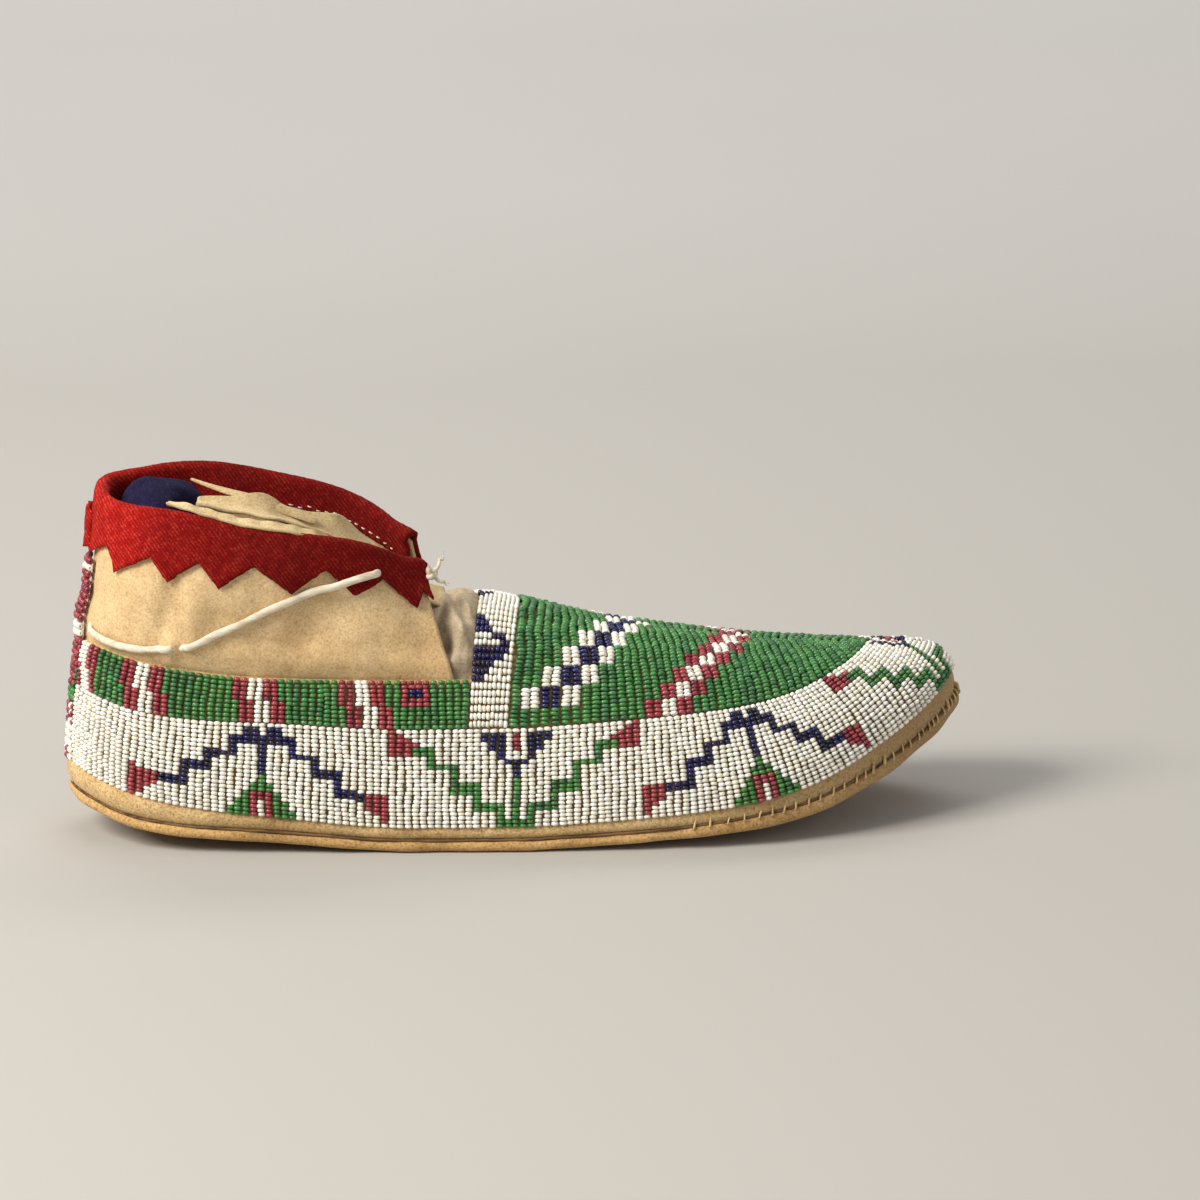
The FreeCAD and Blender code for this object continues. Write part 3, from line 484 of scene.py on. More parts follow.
    def slant_line(self, foot_l, bound, t):
        """(l, arc) of a strand from foot_l on the sole's edge, between bound and the next."""
        slant, base = (np.interp(foot_l, self.bound_ls, table)
                       for table in (self.slants, self.bounds[0]))
        l = np.full(len(t), float(foot_l))
        for _ in range(4):
            low, high = (np.interp(l, self.bound_ls, self.bounds[k]) for k in (bound, bound+1))
            arc = low+(high-low)*t
            l = foot_l+slant*(arc-base)
        return l, arc


LAT, MED = SIDES = Side(-1), Side(1)


# ---------------------------------------------------------------- materials
def srgb(*values):
    """Linear colour of sRGB values from 0 to 255."""
    shares = [v/255.0 for v in values]
    return tuple(c/12.92 if c <= 0.04045 else ((c+0.055)/1.055)**2.4 for c in shares)


class Shader:
    """A material's nodes, with short ways to add and link them."""
    def __init__(self, name):
        self.material = bpy.data.materials.new(name)
        self.material.use_nodes = True
        self.tree = self.material.node_tree
        self.surface = self.tree.nodes["Principled BSDF"]
        self.place = self.add("TexCoord").outputs["Object"]

    def add(self, kind, inputs={}, **settings):
        node = self.tree.nodes.new("ShaderNode"+kind)
        for key, value in settings.items():
            setattr(node, key, value)
        self.fill(node, inputs)
        return node

    def fill(self, node, inputs):
        """Give each input a value, or link it to an output."""
        for key, value in inputs.items():
            socket = node.inputs[key]
            if isinstance(value, bpy.types.NodeSocket):
                self.tree.links.new(value, socket)
            else:
                socket.default_value = (*value, 1.0) if socket.type == "RGBA" else value

    def finish(self, **inputs):
        self.fill(self.surface, {key.replace("_", " "): v for key, v in inputs.items()})
        return self.material

    def noise(self, scale, detail=3.0, rough=0.5, place=None):
        return self.add("TexNoise", {"Scale": scale, "Detail": detail, "Roughness": rough,
                                     "Vector": place or self.place}).outputs["Fac"]

    def ramp(self, value, *stops):
        node = self.add("ValToRGB", {0: value})
        elements = node.color_ramp.elements
        while len(elements) < len(stops):
            elements.new(0.5)
        for element, (position, colour) in zip(elements, stops):
            element.position = position
            element.color = (*colour, 1.0)
        return node.outputs[0]

    def mix(self, blend, factor, first, second):
        # sockets 0, 6 and 7 are the factor and the two colours
        node = self.add("Mix", data_type="RGBA", blend_type=blend)
        self.fill(node, {0: factor, 6: first, 7: second})
        return node.outputs[2]

    def math(self, operation, *values):
        return self.add("Math", dict(enumerate(values)), operation=operation).outputs[0]

    def map_range(self, value, source, target):
        inputs = dict(enumerate((value, *source, *target)))
        return self.add("MapRange", inputs, clamp=True).outputs[0]

    def axis(self, index):
        return self.add("SeparateXYZ", {0: self.place}).outputs[index]

    def specks(self, scale, size, patch_scale, patch_limit):
        """Small dots kept only inside patches."""
        cells = self.add("TexVoronoi", {"Scale": scale, "Vector": self.place})
        dots = self.math("LESS_THAN", cells.outputs["Distance"], size)
        patch = self.noise(scale=patch_scale, detail=1.0)
        return self.math("MULTIPLY", dots, self.math("GREATER_THAN", patch, patch_limit))

    def bump(self, height, strength, distance, **below):
        return self.add("Bump", {"Strength": strength, "Distance": distance,
                                 "Height": height, **below}).outputs[0]


def hide_material(name, light, middle, dark, nap=1.0, front=None):
    """Blotchy tan hide with a fine nap and specks; front is (x range in metres, colour), painted
    shade that turns the colour darker and browner towards the toe.
    """
    shader = Shader(name)
    colour = shader.ramp(shader.noise(scale=26.0, detail=4.0, rough=0.55),
                         (0.30, dark), (0.52, middle), (0.74, light))
    fine = shader.noise(scale=1500.0, rough=0.65)
    grain = shader.ramp(fine, (0.30, (0.60, 0.56, 0.50)), (0.52, (0.97, 0.97, 0.97)),
                        (0.72, (1.14, 1.13, 1.10)))
    colour = shader.mix("MULTIPLY", 0.85, colour, grain)
    mottle = shader.noise(scale=210.0, rough=0.6)
    shade = shader.ramp(mottle, (0.32, (0.86, 0.83, 0.78)), (0.6, (1.0, 1.0, 1.0)))
    colour = shader.mix("MULTIPLY", 0.8, colour, shade)
    specks = shader.specks(scale=260.0, size=0.075, patch_scale=95.0, patch_limit=0.56)
    colour = shader.mix("MIX", shader.math("MULTIPLY", specks, 0.35), colour,
                        srgb(110, 84, 58))
    # painted shade: the colour is blended towards a darker brown along x, up to the toe
    if front:
        x_range, toe_shade_colour = front
        share = shader.map_range(shader.axis(0), source=x_range, target=(0.0, 0.75))
        colour = shader.mix("MIX", share, colour, toe_shade_colour)
        colour = shader.mix("MULTIPLY", 0.7, colour, grain)
    nap_bump = shader.bump(fine, strength=0.55*nap, distance=0.00016)
    return shader.finish(
        Base_Color=colour, Roughness=0.92, Specular_IOR_Level=0.18,
        Sheen_Weight=0.22, Sheen_Roughness=0.5, Sheen_Tint=srgb(235, 215, 180),
        Normal=shader.bump(mottle, strength=0.5, distance=0.0006, Normal=nap_bump))


def wool_material(name, base, deep, fibre, weave, fade=None):
    """Twill under a fuzzy nap with loose fibres; fade is (x range in metres, brightness), painted
    shade that darkens the colour from the heel end towards the front.
    """
    shader = Shader(name)
    turned = shader.add("Mapping", {"Vector": shader.place, "Rotation": (0.0, 0.62, 0.0)})
    ribs = shader.add("TexWave", {"Scale": 330.0, "Distortion": 0.9, "Detail": 1.0,
                                  "Detail Scale": 2.0, "Vector": turned.outputs[0]},
                      bands_direction="X")
    fuzz = shader.noise(scale=1700.0, detail=4.0, rough=0.7)
    clump = shader.noise(scale=420.0, rough=0.6)
    height = shader.math("ADD", shader.math("MULTIPLY", ribs.outputs["Fac"], 0.30*weave),
                         shader.math("MULTIPLY", fuzz, 0.9))
    height = shader.math("ADD", height, shader.math("MULTIPLY", clump, 0.45))
    height = shader.math("ADD", height, 0.10)
    colour = shader.ramp(shader.math("MULTIPLY", height, 0.86),
                         (0.45, deep), (0.78, base), (1.0, fibre))
    patches = shader.ramp(shader.noise(scale=45.0, detail=2.0),
                          (0.3, (0.80, 0.78, 0.78)), (0.7, (1.08, 1.06, 1.04)))
    colour = shader.mix("MULTIPLY", 0.9, colour, patches)
    lint = shader.specks(scale=420.0, size=0.10, patch_scale=160.0, patch_limit=0.66)
    colour = shader.mix("MIX", shader.math("MULTIPLY", lint, 0.35), colour, fibre)
    # painted shade: the colour is multiplied down along x to the given brightness towards the front
    if fade:
        x_range, brightness = fade
        level = shader.map_range(shader.axis(0), source=x_range, target=(1.0, brightness))
        painted_shade = shader.add("CombineColor", {k: level for k in range(3)})
        colour = shader.mix("MULTIPLY", 1.0, colour, painted_shade.outputs[0])
    return shader.finish(
        Base_Color=colour, Roughness=0.95, Specular_IOR_Level=0.12,
        Sheen_Weight=0.16, Sheen_Roughness=0.4, Sheen_Tint=fibre,
        Normal=shader.bump(height, strength=0.75, distance=0.00035))


def cord_material(name, light, dark, rough=0.85):
    """Twisted hide or sinew: fine lengthwise fibres."""
    shader = Shader(name)
    drawn = shader.add("Mapping", {"Scale": (60.0, 900.0, 900.0), "Vector": shader.place})
    fibres = shader.noise(scale=1.0, rough=0.6, place=drawn.outputs[0])
    patches = shader.noise(scale=140.0, detail=2.0)
    height = shader.math("ADD", shader.math("MULTIPLY", fibres, 0.65),
                         shader.math("MULTIPLY", patches, 0.35))
    return shader.finish(
        Base_Color=shader.ramp(height, (0.36, dark), (0.60, light)),
        Roughness=rough, Specular_IOR_Level=0.25,
        Normal=shader.bump(height, strength=0.4, distance=0.0002))


def bead_material(name, colour, rough):
    """Glass, duller where it is rubbed."""
    shader = Shader(name)
    rubbed = shader.math(
        "ADD", shader.math("MULTIPLY", shader.noise(scale=900.0, detail=2.0), 0.6),
        shader.math("MULTIPLY", shader.noise(scale=150.0, detail=1.0), 0.4))
    level = shader.map_range(rubbed, source=(0.38, 0.62), target=(0.26, 0.66))
    return shader.finish(Base_Color=colour, Roughness=rough, IOR=1.5,
                         Specular_IOR_Level=level)


CUFF_HIDE = hide_material("hide", srgb(226, 198, 152), srgb(214, 184, 138), srgb(196, 163, 115))
# painted shade: the lower hide darkens towards the toe
LOWER_HIDE = hide_material("hide_lower", srgb(214, 184, 136), srgb(200, 168, 118),
                           srgb(180, 147, 100), front=((0.060, 0.125), srgb(158, 128, 90)))
# greyer hide for the tongue root
ROOT_HIDE = hide_material("hide_handled", srgb(214, 198, 168), srgb(192, 174, 146),
                          srgb(160, 142, 118))
# darker, greyer copy of the hide for the tongue flap: painted shade of the flap lying across the
# opening
FLAP_HIDE = hide_material("hide_flap", srgb(214, 192, 148), srgb(198, 174, 130),
                          srgb(174, 150, 108))
# painted shade: the rawhide sole darkens towards the toe
RAWHIDE = hide_material("rawhide", srgb(212, 174, 118), srgb(194, 155, 100),
                        srgb(164, 127, 80), nap=0.8,
                        front=((0.070, 0.135), srgb(150, 121, 84)))
# painted shade on the red wool: its colour darkens to 0.43 forward of about 52 mm from the heel
RED_WOOL = wool_material("wool_red", srgb(164, 20, 16), srgb(84, 3, 5), srgb(212, 84, 62),
                         weave=0.55, fade=((-0.097, -0.060), 0.43))
NAVY_WOOL = wool_material("wool_navy", srgb(32, 28, 58), srgb(15, 12, 30), srgb(74, 68, 104),
                          weave=0.2)
THONG = cord_material("thong", srgb(228, 217, 196), srgb(192, 176, 148))
SINEW = cord_material("sinew", srgb(206, 178, 128), srgb(158, 126, 82), rough=0.6)
# dark running thread: a real thread, coloured dark as painted shade of the groove it lies in
THREAD_IN_SHADE = cord_material("seam_thread_painted_shade", srgb(124, 94, 60), srgb(72, 50, 30), rough=0.9)

# five tones of each bead colour, linear red, green and blue
BEAD_TONES = {
    "white": [(0.80, 0.77, 0.68), (0.86, 0.84, 0.77), (0.74, 0.70, 0.60),
              (0.82, 0.77, 0.64), (0.68, 0.65, 0.57)],
    "green": [(0.050, 0.180, 0.048), (0.072, 0.232, 0.066), (0.034, 0.124, 0.038),
              (0.060, 0.196, 0.046), (0.046, 0.158, 0.056)],
    "rose": [(0.285, 0.036, 0.050), (0.345, 0.052, 0.066), (0.215, 0.026, 0.040),
             (0.300, 0.048, 0.050), (0.180, 0.022, 0.034)],
    "navy": [(0.0110, 0.0110, 0.062), (0.0160, 0.0160, 0.090), (0.0100, 0.0090, 0.040),
             (0.0130, 0.0140, 0.074), (0.0080, 0.0075, 0.030)],
}
TONE_ROUGHNESS = (0.26, 0.20, 0.34, 0.30, 0.40)
TONES = len(TONE_ROUGHNESS)
WHITE, GREEN, ROSE, NAVY = range(4)
BEAD_MATERIALS = [
    bead_material("bead_%s_%d" % (word, i+1), colour,
                  TONE_ROUGHNESS[i]+(0.06 if word == "white" else 0.0))
    for word, tones in BEAD_TONES.items() for i, colour in enumerate(tones)]

# ---------------------------------------------------------------- seed beads
PITCH = 2.2           # from strand to strand
BEAD_LENGTH, BEAD_WIDTH, BEAD_HEIGHT = 1.22, 2.04, 1.9
LIFT = 1.02           # bead centres above the hide
# a bead's section: place along the thread and radius, as shares of its length and width
RING = np.array([(-.41, .13), (-.485, .28), (-.25, .5), (.25, .5), (.485, .28), (.41, .13)])
LEAN = np.random.RandomState(77)
bead_pieces = []


class Beads:
    """Threaded beads, gathered strand by strand and meshed as one object."""
    def __init__(self, seed):
        self.draw = np.random.RandomState(seed)
        self.strands = []

    def strand(self, centres, threads, normals, length, width, height, colours):
        count = len(centres)
        if count == 0:
            return
        sizes = [np.broadcast_to(np.asarray(size, float), (count,))
                 for size in (length, width, height)]
        self.strands.append((centres, threads, normals, *sizes, np.asarray(colours),
                             np.full(count, self.draw.uniform())))

    def mesh(self, name, around=8):
        centre, thread, normal, length, width, height, colour, bias = [
            np.concatenate(column) for column in zip(*self.strands)]
        count, draw = len(centre), self.draw
        thread = unit(thread+draw.normal(0, 0.075, (count, 3)))
        normal = unit(normal-thread*np.sum(normal*thread, 1, keepdims=True))
        across = np.cross(thread, normal)
        centre = (centre+across*draw.normal(0, 0.09, count)[:, None]
                  + normal*draw.normal(0, 0.075, count)[:, None])
        size = draw.normal(1, 0.05, count)
        length = length*np.clip(draw.normal(0.985, 0.045, count), 0.86, 1.06)
        width, height = width*size, height*size
        turn = (np.arange(around)+0.5)*2*math.pi/around
        along, radius = RING[:, 0], RING[None, :, 1, None]
        points = (centre[:, None, None, :]
                  + thread[:, None, None, :]*(length[:, None]*along)[:, :, None, None]
                  + across[:, None, None, :]
                  * (width[:, None, None]*radius*np.cos(turn))[..., None]
                  + normal[:, None, None, :]
                  * (height[:, None, None]*radius*np.sin(turn))[..., None])
        each = len(RING)*around
        faces = grid_faces(len(RING), around, True, True)
        faces = (faces[None]+(np.arange(count)*each)[:, None, None]).reshape(-1, 4)
        pick = bias*0.7+draw.uniform(0, 1, count)*0.6
        tone = np.array([0, 3, 1, 2, 4])[np.digitize(pick, (0.42, 0.62, 0.80, 1.02))]
        ob = build(name, [(points, faces)], BEAD_MATERIALS, merge=0,
                   face_materials=np.repeat(colour*TONES+tone, each))
        tidy(ob.data, merge=0)
        bead_pieces.append((ob, name))


def columns(side, start, end, middle):
    """Places along the side where strands cross a lane, evenly spaced at its middle."""
    ls = np.arange(start, end+1e-6, 0.5)
    run = running_length(np.array([side.at(l, [middle(l)])[0][0] for l in ls]))
    count = max(2, int(round(run[-1]/PITCH)))
    return np.interp((np.arange(count)+0.5)*run[-1]/count, run, ls)


def strand_points(side, l, arcs, width_l):
    """Bead centres, thread directions, normals and the room each bead has."""
    points, normals = side.at(l, arcs)
    thread = unit(side.at(l, arcs+0.3)[0]-side.at(l, arcs-0.3)[0])
    spread = side.at(l+0.5, arcs)[0]-side.at(l-0.5, arcs)[0]
    return points, thread, normals, np.linalg.norm(np.cross(spread, thread), axis=1)*width_l


def set_strand(beads, number, points, thread, normals, room, step, colours, fit,
               spare=0.0, widest=BEAD_WIDTH, tallest=BEAD_HEIGHT, height=0.97):
    """Add a strand's beads; odd strands end where they are crowded.

    fit is the crowding limit as a share of the pitch, the share of the room a bead fills and
    the least width.
    """
    limit, fill, least = fit
    keep = room > limit*PITCH if number % 2 else np.ones(len(points), bool)
    room = room+spare
    width = np.where(room > limit*PITCH, np.minimum(widest, np.maximum(room*fill, least)),
                     np.minimum(BEAD_WIDTH, room*1.9))
    beads.strand(points[keep], thread[keep], normals[keep], step, width[keep],
                 np.minimum(tallest, width[keep]*height), colours[keep])


def lay_strand(beads, number, l, arcs, t, placed, step, sway, hump, colours, fit):
    """Set a lane's strand, swaying sideways and humped; t runs 0 to 1 up the lane."""
    points, thread, normals, room = placed
    foot, middle, top = hump
    raised = LIFT+np.interp(t, [0, .18, .5, .82, 1],
                            [foot, (foot+2*middle)/3, middle, (top+2*middle)/3, top])
    lean = LEAN.normal(0, 0.16)
    shift = sway(l, arcs)*np.interp(t, [0, .2, .8, 1], [.45, 1, 1, .8])+lean*(t-0.5)
    across = np.cross(thread, normals)
    points = points+normals*raised[:, None]+across*shift[:, None]
    set_strand(beads, number, points, thread, normals, room, step, colours, fit)


def slanting_lane(beads, side, ls, bound, gaps, colour, sway, hump, first_row):
    """Strands of a side lane between one of the boundaries and the next."""
    def along(foot_l, t):
        return side.at_each(*side.slant_line(foot_l, bound, t))

    coarse = np.linspace(0, 1, 9)
    for i, foot_l in enumerate(ls):
        run = running_length(along(foot_l, coarse)[0])
        if run[-1] < 1.3:
            continue
        span = run[-1]-gaps[0]-gaps[1]
        count = max(1, int(round(span/BEAD_LENGTH)))
        step = span/count
        t = np.interp(gaps[0]+(np.arange(count)+0.5)*step, run, coarse)
        arcs = side.slant_line(foot_l, bound, t)[1]
        points, normals = along(foot_l, t)
        thread = unit(along(foot_l, t+0.03)[0]-along(foot_l, t-0.03)[0])
        between = ls[min(i+1, len(ls)-1)]-ls[max(i-1, 0)]
        neighbours = 2.0 if 0 < i < len(ls)-1 else 1.0
        spread = along(foot_l+0.4, t)[0]-along(foot_l-0.4, t)[0]
        room = np.linalg.norm(np.cross(spread, thread), axis=1)/0.8*between/neighbours
        colours = np.array([colour(i, first_row+(j+0.5)*11.4/count) for j in range(count)])
        lay_strand(beads, i, foot_l, arcs, t, (points, thread, normals, room), step, sway,
                   hump, colours, fit=(0.58, 0.96, 1.2))


def quarter_lane(beads, side, ls, colour, sway):
    """Upright strands from the side lanes up to the topline."""
    for i, (l, width_l) in enumerate(zip(ls, np.gradient(ls))):
        low, high = side.mid_top(l)+0.04, side.topline(l)-0.5
        if high-low < 1.0:
            continue
        count = max(1, int(round((high-low-0.1)/BEAD_LENGTH)))
        step = (high-low)/count
        arcs = low+(np.arange(count)+0.5)*step
        colours = np.array([colour(i, (j+0.5)*12.0/count) for j in range(count)])
        lay_strand(beads, i, l, arcs, (arcs-low)/(high-low),
                   strand_points(side, l, arcs, width_l), step, sway, (0.30, 0.5, 0.1),
                   colours, fit=(0.60, 0.97, 1.25))


# ---------------------------------------------------------------- bead patterns
# away is the count of strands from a motif's middle, row the count of beads up from the lane's foot
TRIANGLE_WINGS = ((5, 7), (4, 8), (3, 8), (1, 8), (0, 9))
VEE_WINGS = ((18, 20), (17, 21), (17, 22), (17, 23), (16, 23))


def in_wing(wings, away, row):
    """Rose block 13 to 17 strands out, growing outwards."""
    if not 13 <= away <= 17:
        return False
    low, high = wings[away-13]
    return low <= row < high


def stepped_triangle(away, row):
    """Tent of stepped navy lines over a small green and rose foot."""
    if away == 0:
        for limit, colour in ((4, WHITE), (6, ROSE), (10, GREEN), (20, NAVY)):
            if row < limit:
                return colour
        return WHITE
    if away == 1 and row < 6:
        return ROSE
    if (away, row) in ((1, 6), (1, 7)) or row < {2: 6, 3: 4, 4: 2}.get(away, 0):
        return GREEN
    if away in (1, 2) and 18 <= row < 22:
        return NAVY
    for k, base in enumerate((18, 14, 10, 6)):
        start, end = 1+3*k, 4+3*k
        if start <= away <= end and base <= row < base+2:
            return NAVY
        if away == end and base-3 <= row < base+2:
            return NAVY if k < 3 else WHITE
    return ROSE if in_wing(TRIANGLE_WINGS, away, row) else WHITE


def stepped_vee(away, row, corner):
    """Vee of stepped green lines with a small navy fork in its mouth."""
    if away == 0:
        for limit, colour in ((11, GREEN), (16, NAVY), (18, WHITE), (22, ROSE)):
            if row < limit:
                return colour
        return WHITE
    if row < {1: 2, 2: 5}.get(away, 0):
        return GREEN
    if corner and row >= 22:
        return ROSE
    for start, end, base, low in ((2, 5, 4, 4), (5, 8, 8, 4), (8, 11, 13, 8), (11, 13, 17, 13)):
        if start <= away <= end and base <= row < base+2:
            return GREEN
        if away == start and low <= row < base+2:
            return GREEN
    fork = {1: (14, 16), 2: (16, 22), 3: (18, 22), 4: (20, 22)}.get(away, (0, 0))
    if fork[0] <= row < fork[1]:
        return NAVY
    return ROSE if in_wing(VEE_WINGS, away, row) else WHITE


# l of each motif's middle; triangles and vees take turns from the heel
CENTRES = {-1: (70, 143, 215.5, 289), 1: (63, 134.5, 204, 272)}
# l of the striped groups above them
GROUPS = {-1: (27.0, 61.5, 93.6), 1: (26.0, 59.5, 91.0)}


def side_colours(ls, centres):
    middles = [(int(np.argmin(abs(ls-c))), k % 2) for k, c in enumerate(centres)]

    def colour(i, row):
        middle, is_vee = min(middles, key=lambda m: abs(i-m[0]))
        away, row = abs(i-middle), int(row)
        if is_vee:
            corner = i-middle in (-16, -17) and middle == middles[1][0]
            return stepped_vee(away, row, corner)
        return stepped_triangle(away, row)
    return colour


def quarter_colours(ls, groups):
    starts = [int(np.argmin(abs(ls-g))) for g in groups]

    def colour(i, row):
        upper_half = row >= 6
        if i < 4:
            return ((WHITE, WHITE, ROSE, ROSE) if upper_half else (ROSE, WHITE, WHITE, ROSE))[i]
        for start in starts:
            k = i-start-(0 if upper_half else 1)
            if 0 <= k < 6:
                return (ROSE, ROSE, WHITE, WHITE, ROSE, ROSE)[k]
        k = i-starts[-1]-8
        if upper_half and 0 <= k < 4:
            return NAVY if k in (1, 2) and 8 <= row < 10 else ROSE
        return GREEN
    return colour


def vamp_colour(strand, up):
    """Strand number from the throat, up beads above the side lane."""
    k = strand-2*math.floor((up-4)/5.0)
    if up >= 4 and 1 <= k <= 6:
        return NAVY if k in (3, 4) else WHITE
    k = strand-2*math.floor(up/3.9)
    if 14 <= k <= 19:
        return WHITE if k in (16, 17) else ROSE
    return GREEN


def throat_colour(i, row):
    """Triangles pointing to the toe: i beads from the rear edge, row rows from the crown."""
    if abs(row) <= 1:
        return NAVY if i < 3-2*abs(row) else WHITE
    for middle in (-11, 11):
        k = (row-middle)*(1 if middle < 0 else -1)
        if -4 <= k <= 5:
            if k in (1, 2):
                return NAVY if 6-2*(k-1) <= i < 8-(k-1) else WHITE
            return NAVY if i < (8, 7, 5, 4, 3, 2)[abs(k)] else WHITE
    return WHITE


# ---------------------------------------------------------------- beadwork on the sides
HEEL_STRIP_L = 5.9    # the lanes start here, beside the heel strip
THROAT_X = (119.9, 131.2)


def side_beads(side):
    raw_sway = waves(31+side.sign, 7, 7.0, 40.0)

    def sway(l, arcs):
        return 0.30*raw_sway(l, arcs)*(1+1.2*bell(l-8, 14.0))

    ls = columns(side, HEEL_STRIP_L, side.length-0.3,
                 lambda l: (side.bare_top(l)+side.low_top(l))/2)
    colour = side_colours(ls, CENTRES[side.sign])
    for word, seed, bound, gaps, hump, first_row in (
            ("low", 101, 0, (0.0, 0.02), (0.1, 0.55, 0.60), 0.0),
            ("mid", 111, 1, (0.02, 0.04), (0.60, 0.62, 0.30), 11.4)):
        beads = Beads(seed+side.sign)
        slanting_lane(beads, side, ls, bound, gaps, colour, sway, hump, first_row)
        beads.mesh("beads_%s_%s" % (word, side.word))
    beads = Beads(121+side.sign)
    ls = columns(side, HEEL_STRIP_L, side.l_at_crown(THROAT_X[0])-1.2,
                 lambda l: (side.mid_top(l)+side.topline(l)-0.5)/2)
    quarter_lane(beads, side, ls, quarter_colours(ls, GROUPS[side.sign]), sway)
    beads.mesh("beads_quarter_"+side.word)


for side in SIDES:
    side_beads(side)


# ---------------------------------------------------------------- beadwork over the instep
def reach(side, x):
    """l of the rib whose crown is at x, and its arcs above the side lanes and at the crown."""
    l = side.l_at_crown(x)
    return l, side.mid_top(l)+0.3, side.end(l)


def vamp_end(side):
    l = side.length
    while l > 150 and side.end(l)-side.mid_top(l) < 1.4:
        l -= 0.5
    return side.crown_x(l)


def vamp_beads():
    """Strands over the crown from side to side; the rear ones have their feet drawn back."""
    beads = Beads(131)
    first_x, drawn_back = 132.7, 15
    end_x = min(vamp_end(side) for side in SIDES)
    sway = waves(37, 8, 6.0, 34.0)
    for i, x in enumerate(first_x+PITCH*np.arange(int((end_x-first_x)/PITCH)+1)):
        reaches = [reach(side, x) for side in SIDES]
        spans = [high-low for _, low, high in reaches]
        total = sum(spans)
        if total < 2.0:
            continue
        count = int(round(total/BEAD_LENGTH))
        run = (np.arange(count)+0.5)*total/count
        lateral = run < spans[0]
        back = 2.6*max(0.0, 1-i/drawn_back)
        halves = []
        for side, (l, low, high), span, arcs in zip(
                SIDES, reaches, spans,
                (reaches[0][1]+run[lateral], reaches[1][2]-(run[~lateral]-spans[0]))):
            width_l = side.l_at_crown(x+PITCH/2)-side.l_at_crown(x-PITCH/2)
            points, thread, normals, room = strand_points(side, l, arcs, width_l)
            if back:
                share = np.clip((side.end(l)-arcs)/max(span, 1.0), 0, 1)
                points = side.at_each(l-back*share, arcs)[0]
            halves.append((points, -side.sign*thread, normals, room))
        points, thread, normals, room = (np.concatenate(pair) for pair in zip(*halves))
        normals = unit(normals)
        if count > 2:
            thread = unit(np.gradient(points, axis=0))
        near = np.minimum(run, total-run)
        raised = LIFT+(0.30*abs(np.sin(math.pi*near/8.5))+0.12)
        shift = 0.42*sway(x, run)*np.sin(math.pi*run/total)**0.5
        points = points+normals*raised[:, None]+np.cross(thread, normals)*shift[:, None]
        spare = 0.17*np.clip(1-near/max(spans[0], 1.0), 0, 1) if i < drawn_back else 0.0
        colours = np.array([vamp_colour(i, d/BEAD_LENGTH) for d in near])
        set_strand(beads, i, points, thread, normals, room, total/count, colours,
                   fit=(0.60, 0.96, 1.25), spare=spare, widest=2.62, tallest=2.1, height=0.95)
    beads.mesh("beads_vamp", around=7)


def throat_beads():
    """Short strands laid along the foot, stacked over the instep."""
    beads = Beads(141)
    start, end = THROAT_X
    count = 9
    spans = [high-low for _, low, high in (reach(side, (start+end)/2) for side in SIDES)]
    total = sum(spans)
    rows = int(round(total/2.15))
    crown_row = int(round(spans[0]/total*rows))
    raised = 0.95+0.4*np.sin(math.pi*(np.arange(count)+0.5)/count)
    for j in range(rows):
        run = (j+0.5)/rows*total
        if run < spans[0]:
            side, share = LAT, run/spans[0]
        else:
            side, share = MED, (total-run)/spans[1]
        points, normals = [], []
        for x in np.linspace(start, end, count+1):
            l, low, high = reach(side, x)
            arc = [low+(high-low)*share]
            back = (1.3+1.3*(x-start)/(end-start))*(1-share)
            points.append(side.at(l-back, arc)[0][0])
            normals.append(side.at(l, arc)[1][0])
        points, normals = np.array(points), np.array(normals)
        steps = points[1:]-points[:-1]
        out = unit(normals[1:]+normals[:-1])
        centres = (points[1:]+points[:-1])/2+out*raised[:, None]
        colours = np.array([throat_colour(i, j-crown_row) for i in range(count)])
        beads.strand(centres, unit(steps), out, np.linalg.norm(steps, axis=1)*0.99, 2.0,
                     BEAD_HEIGHT, colours)
    beads.mesh("beads_throat")


vamp_beads()
throat_beads()


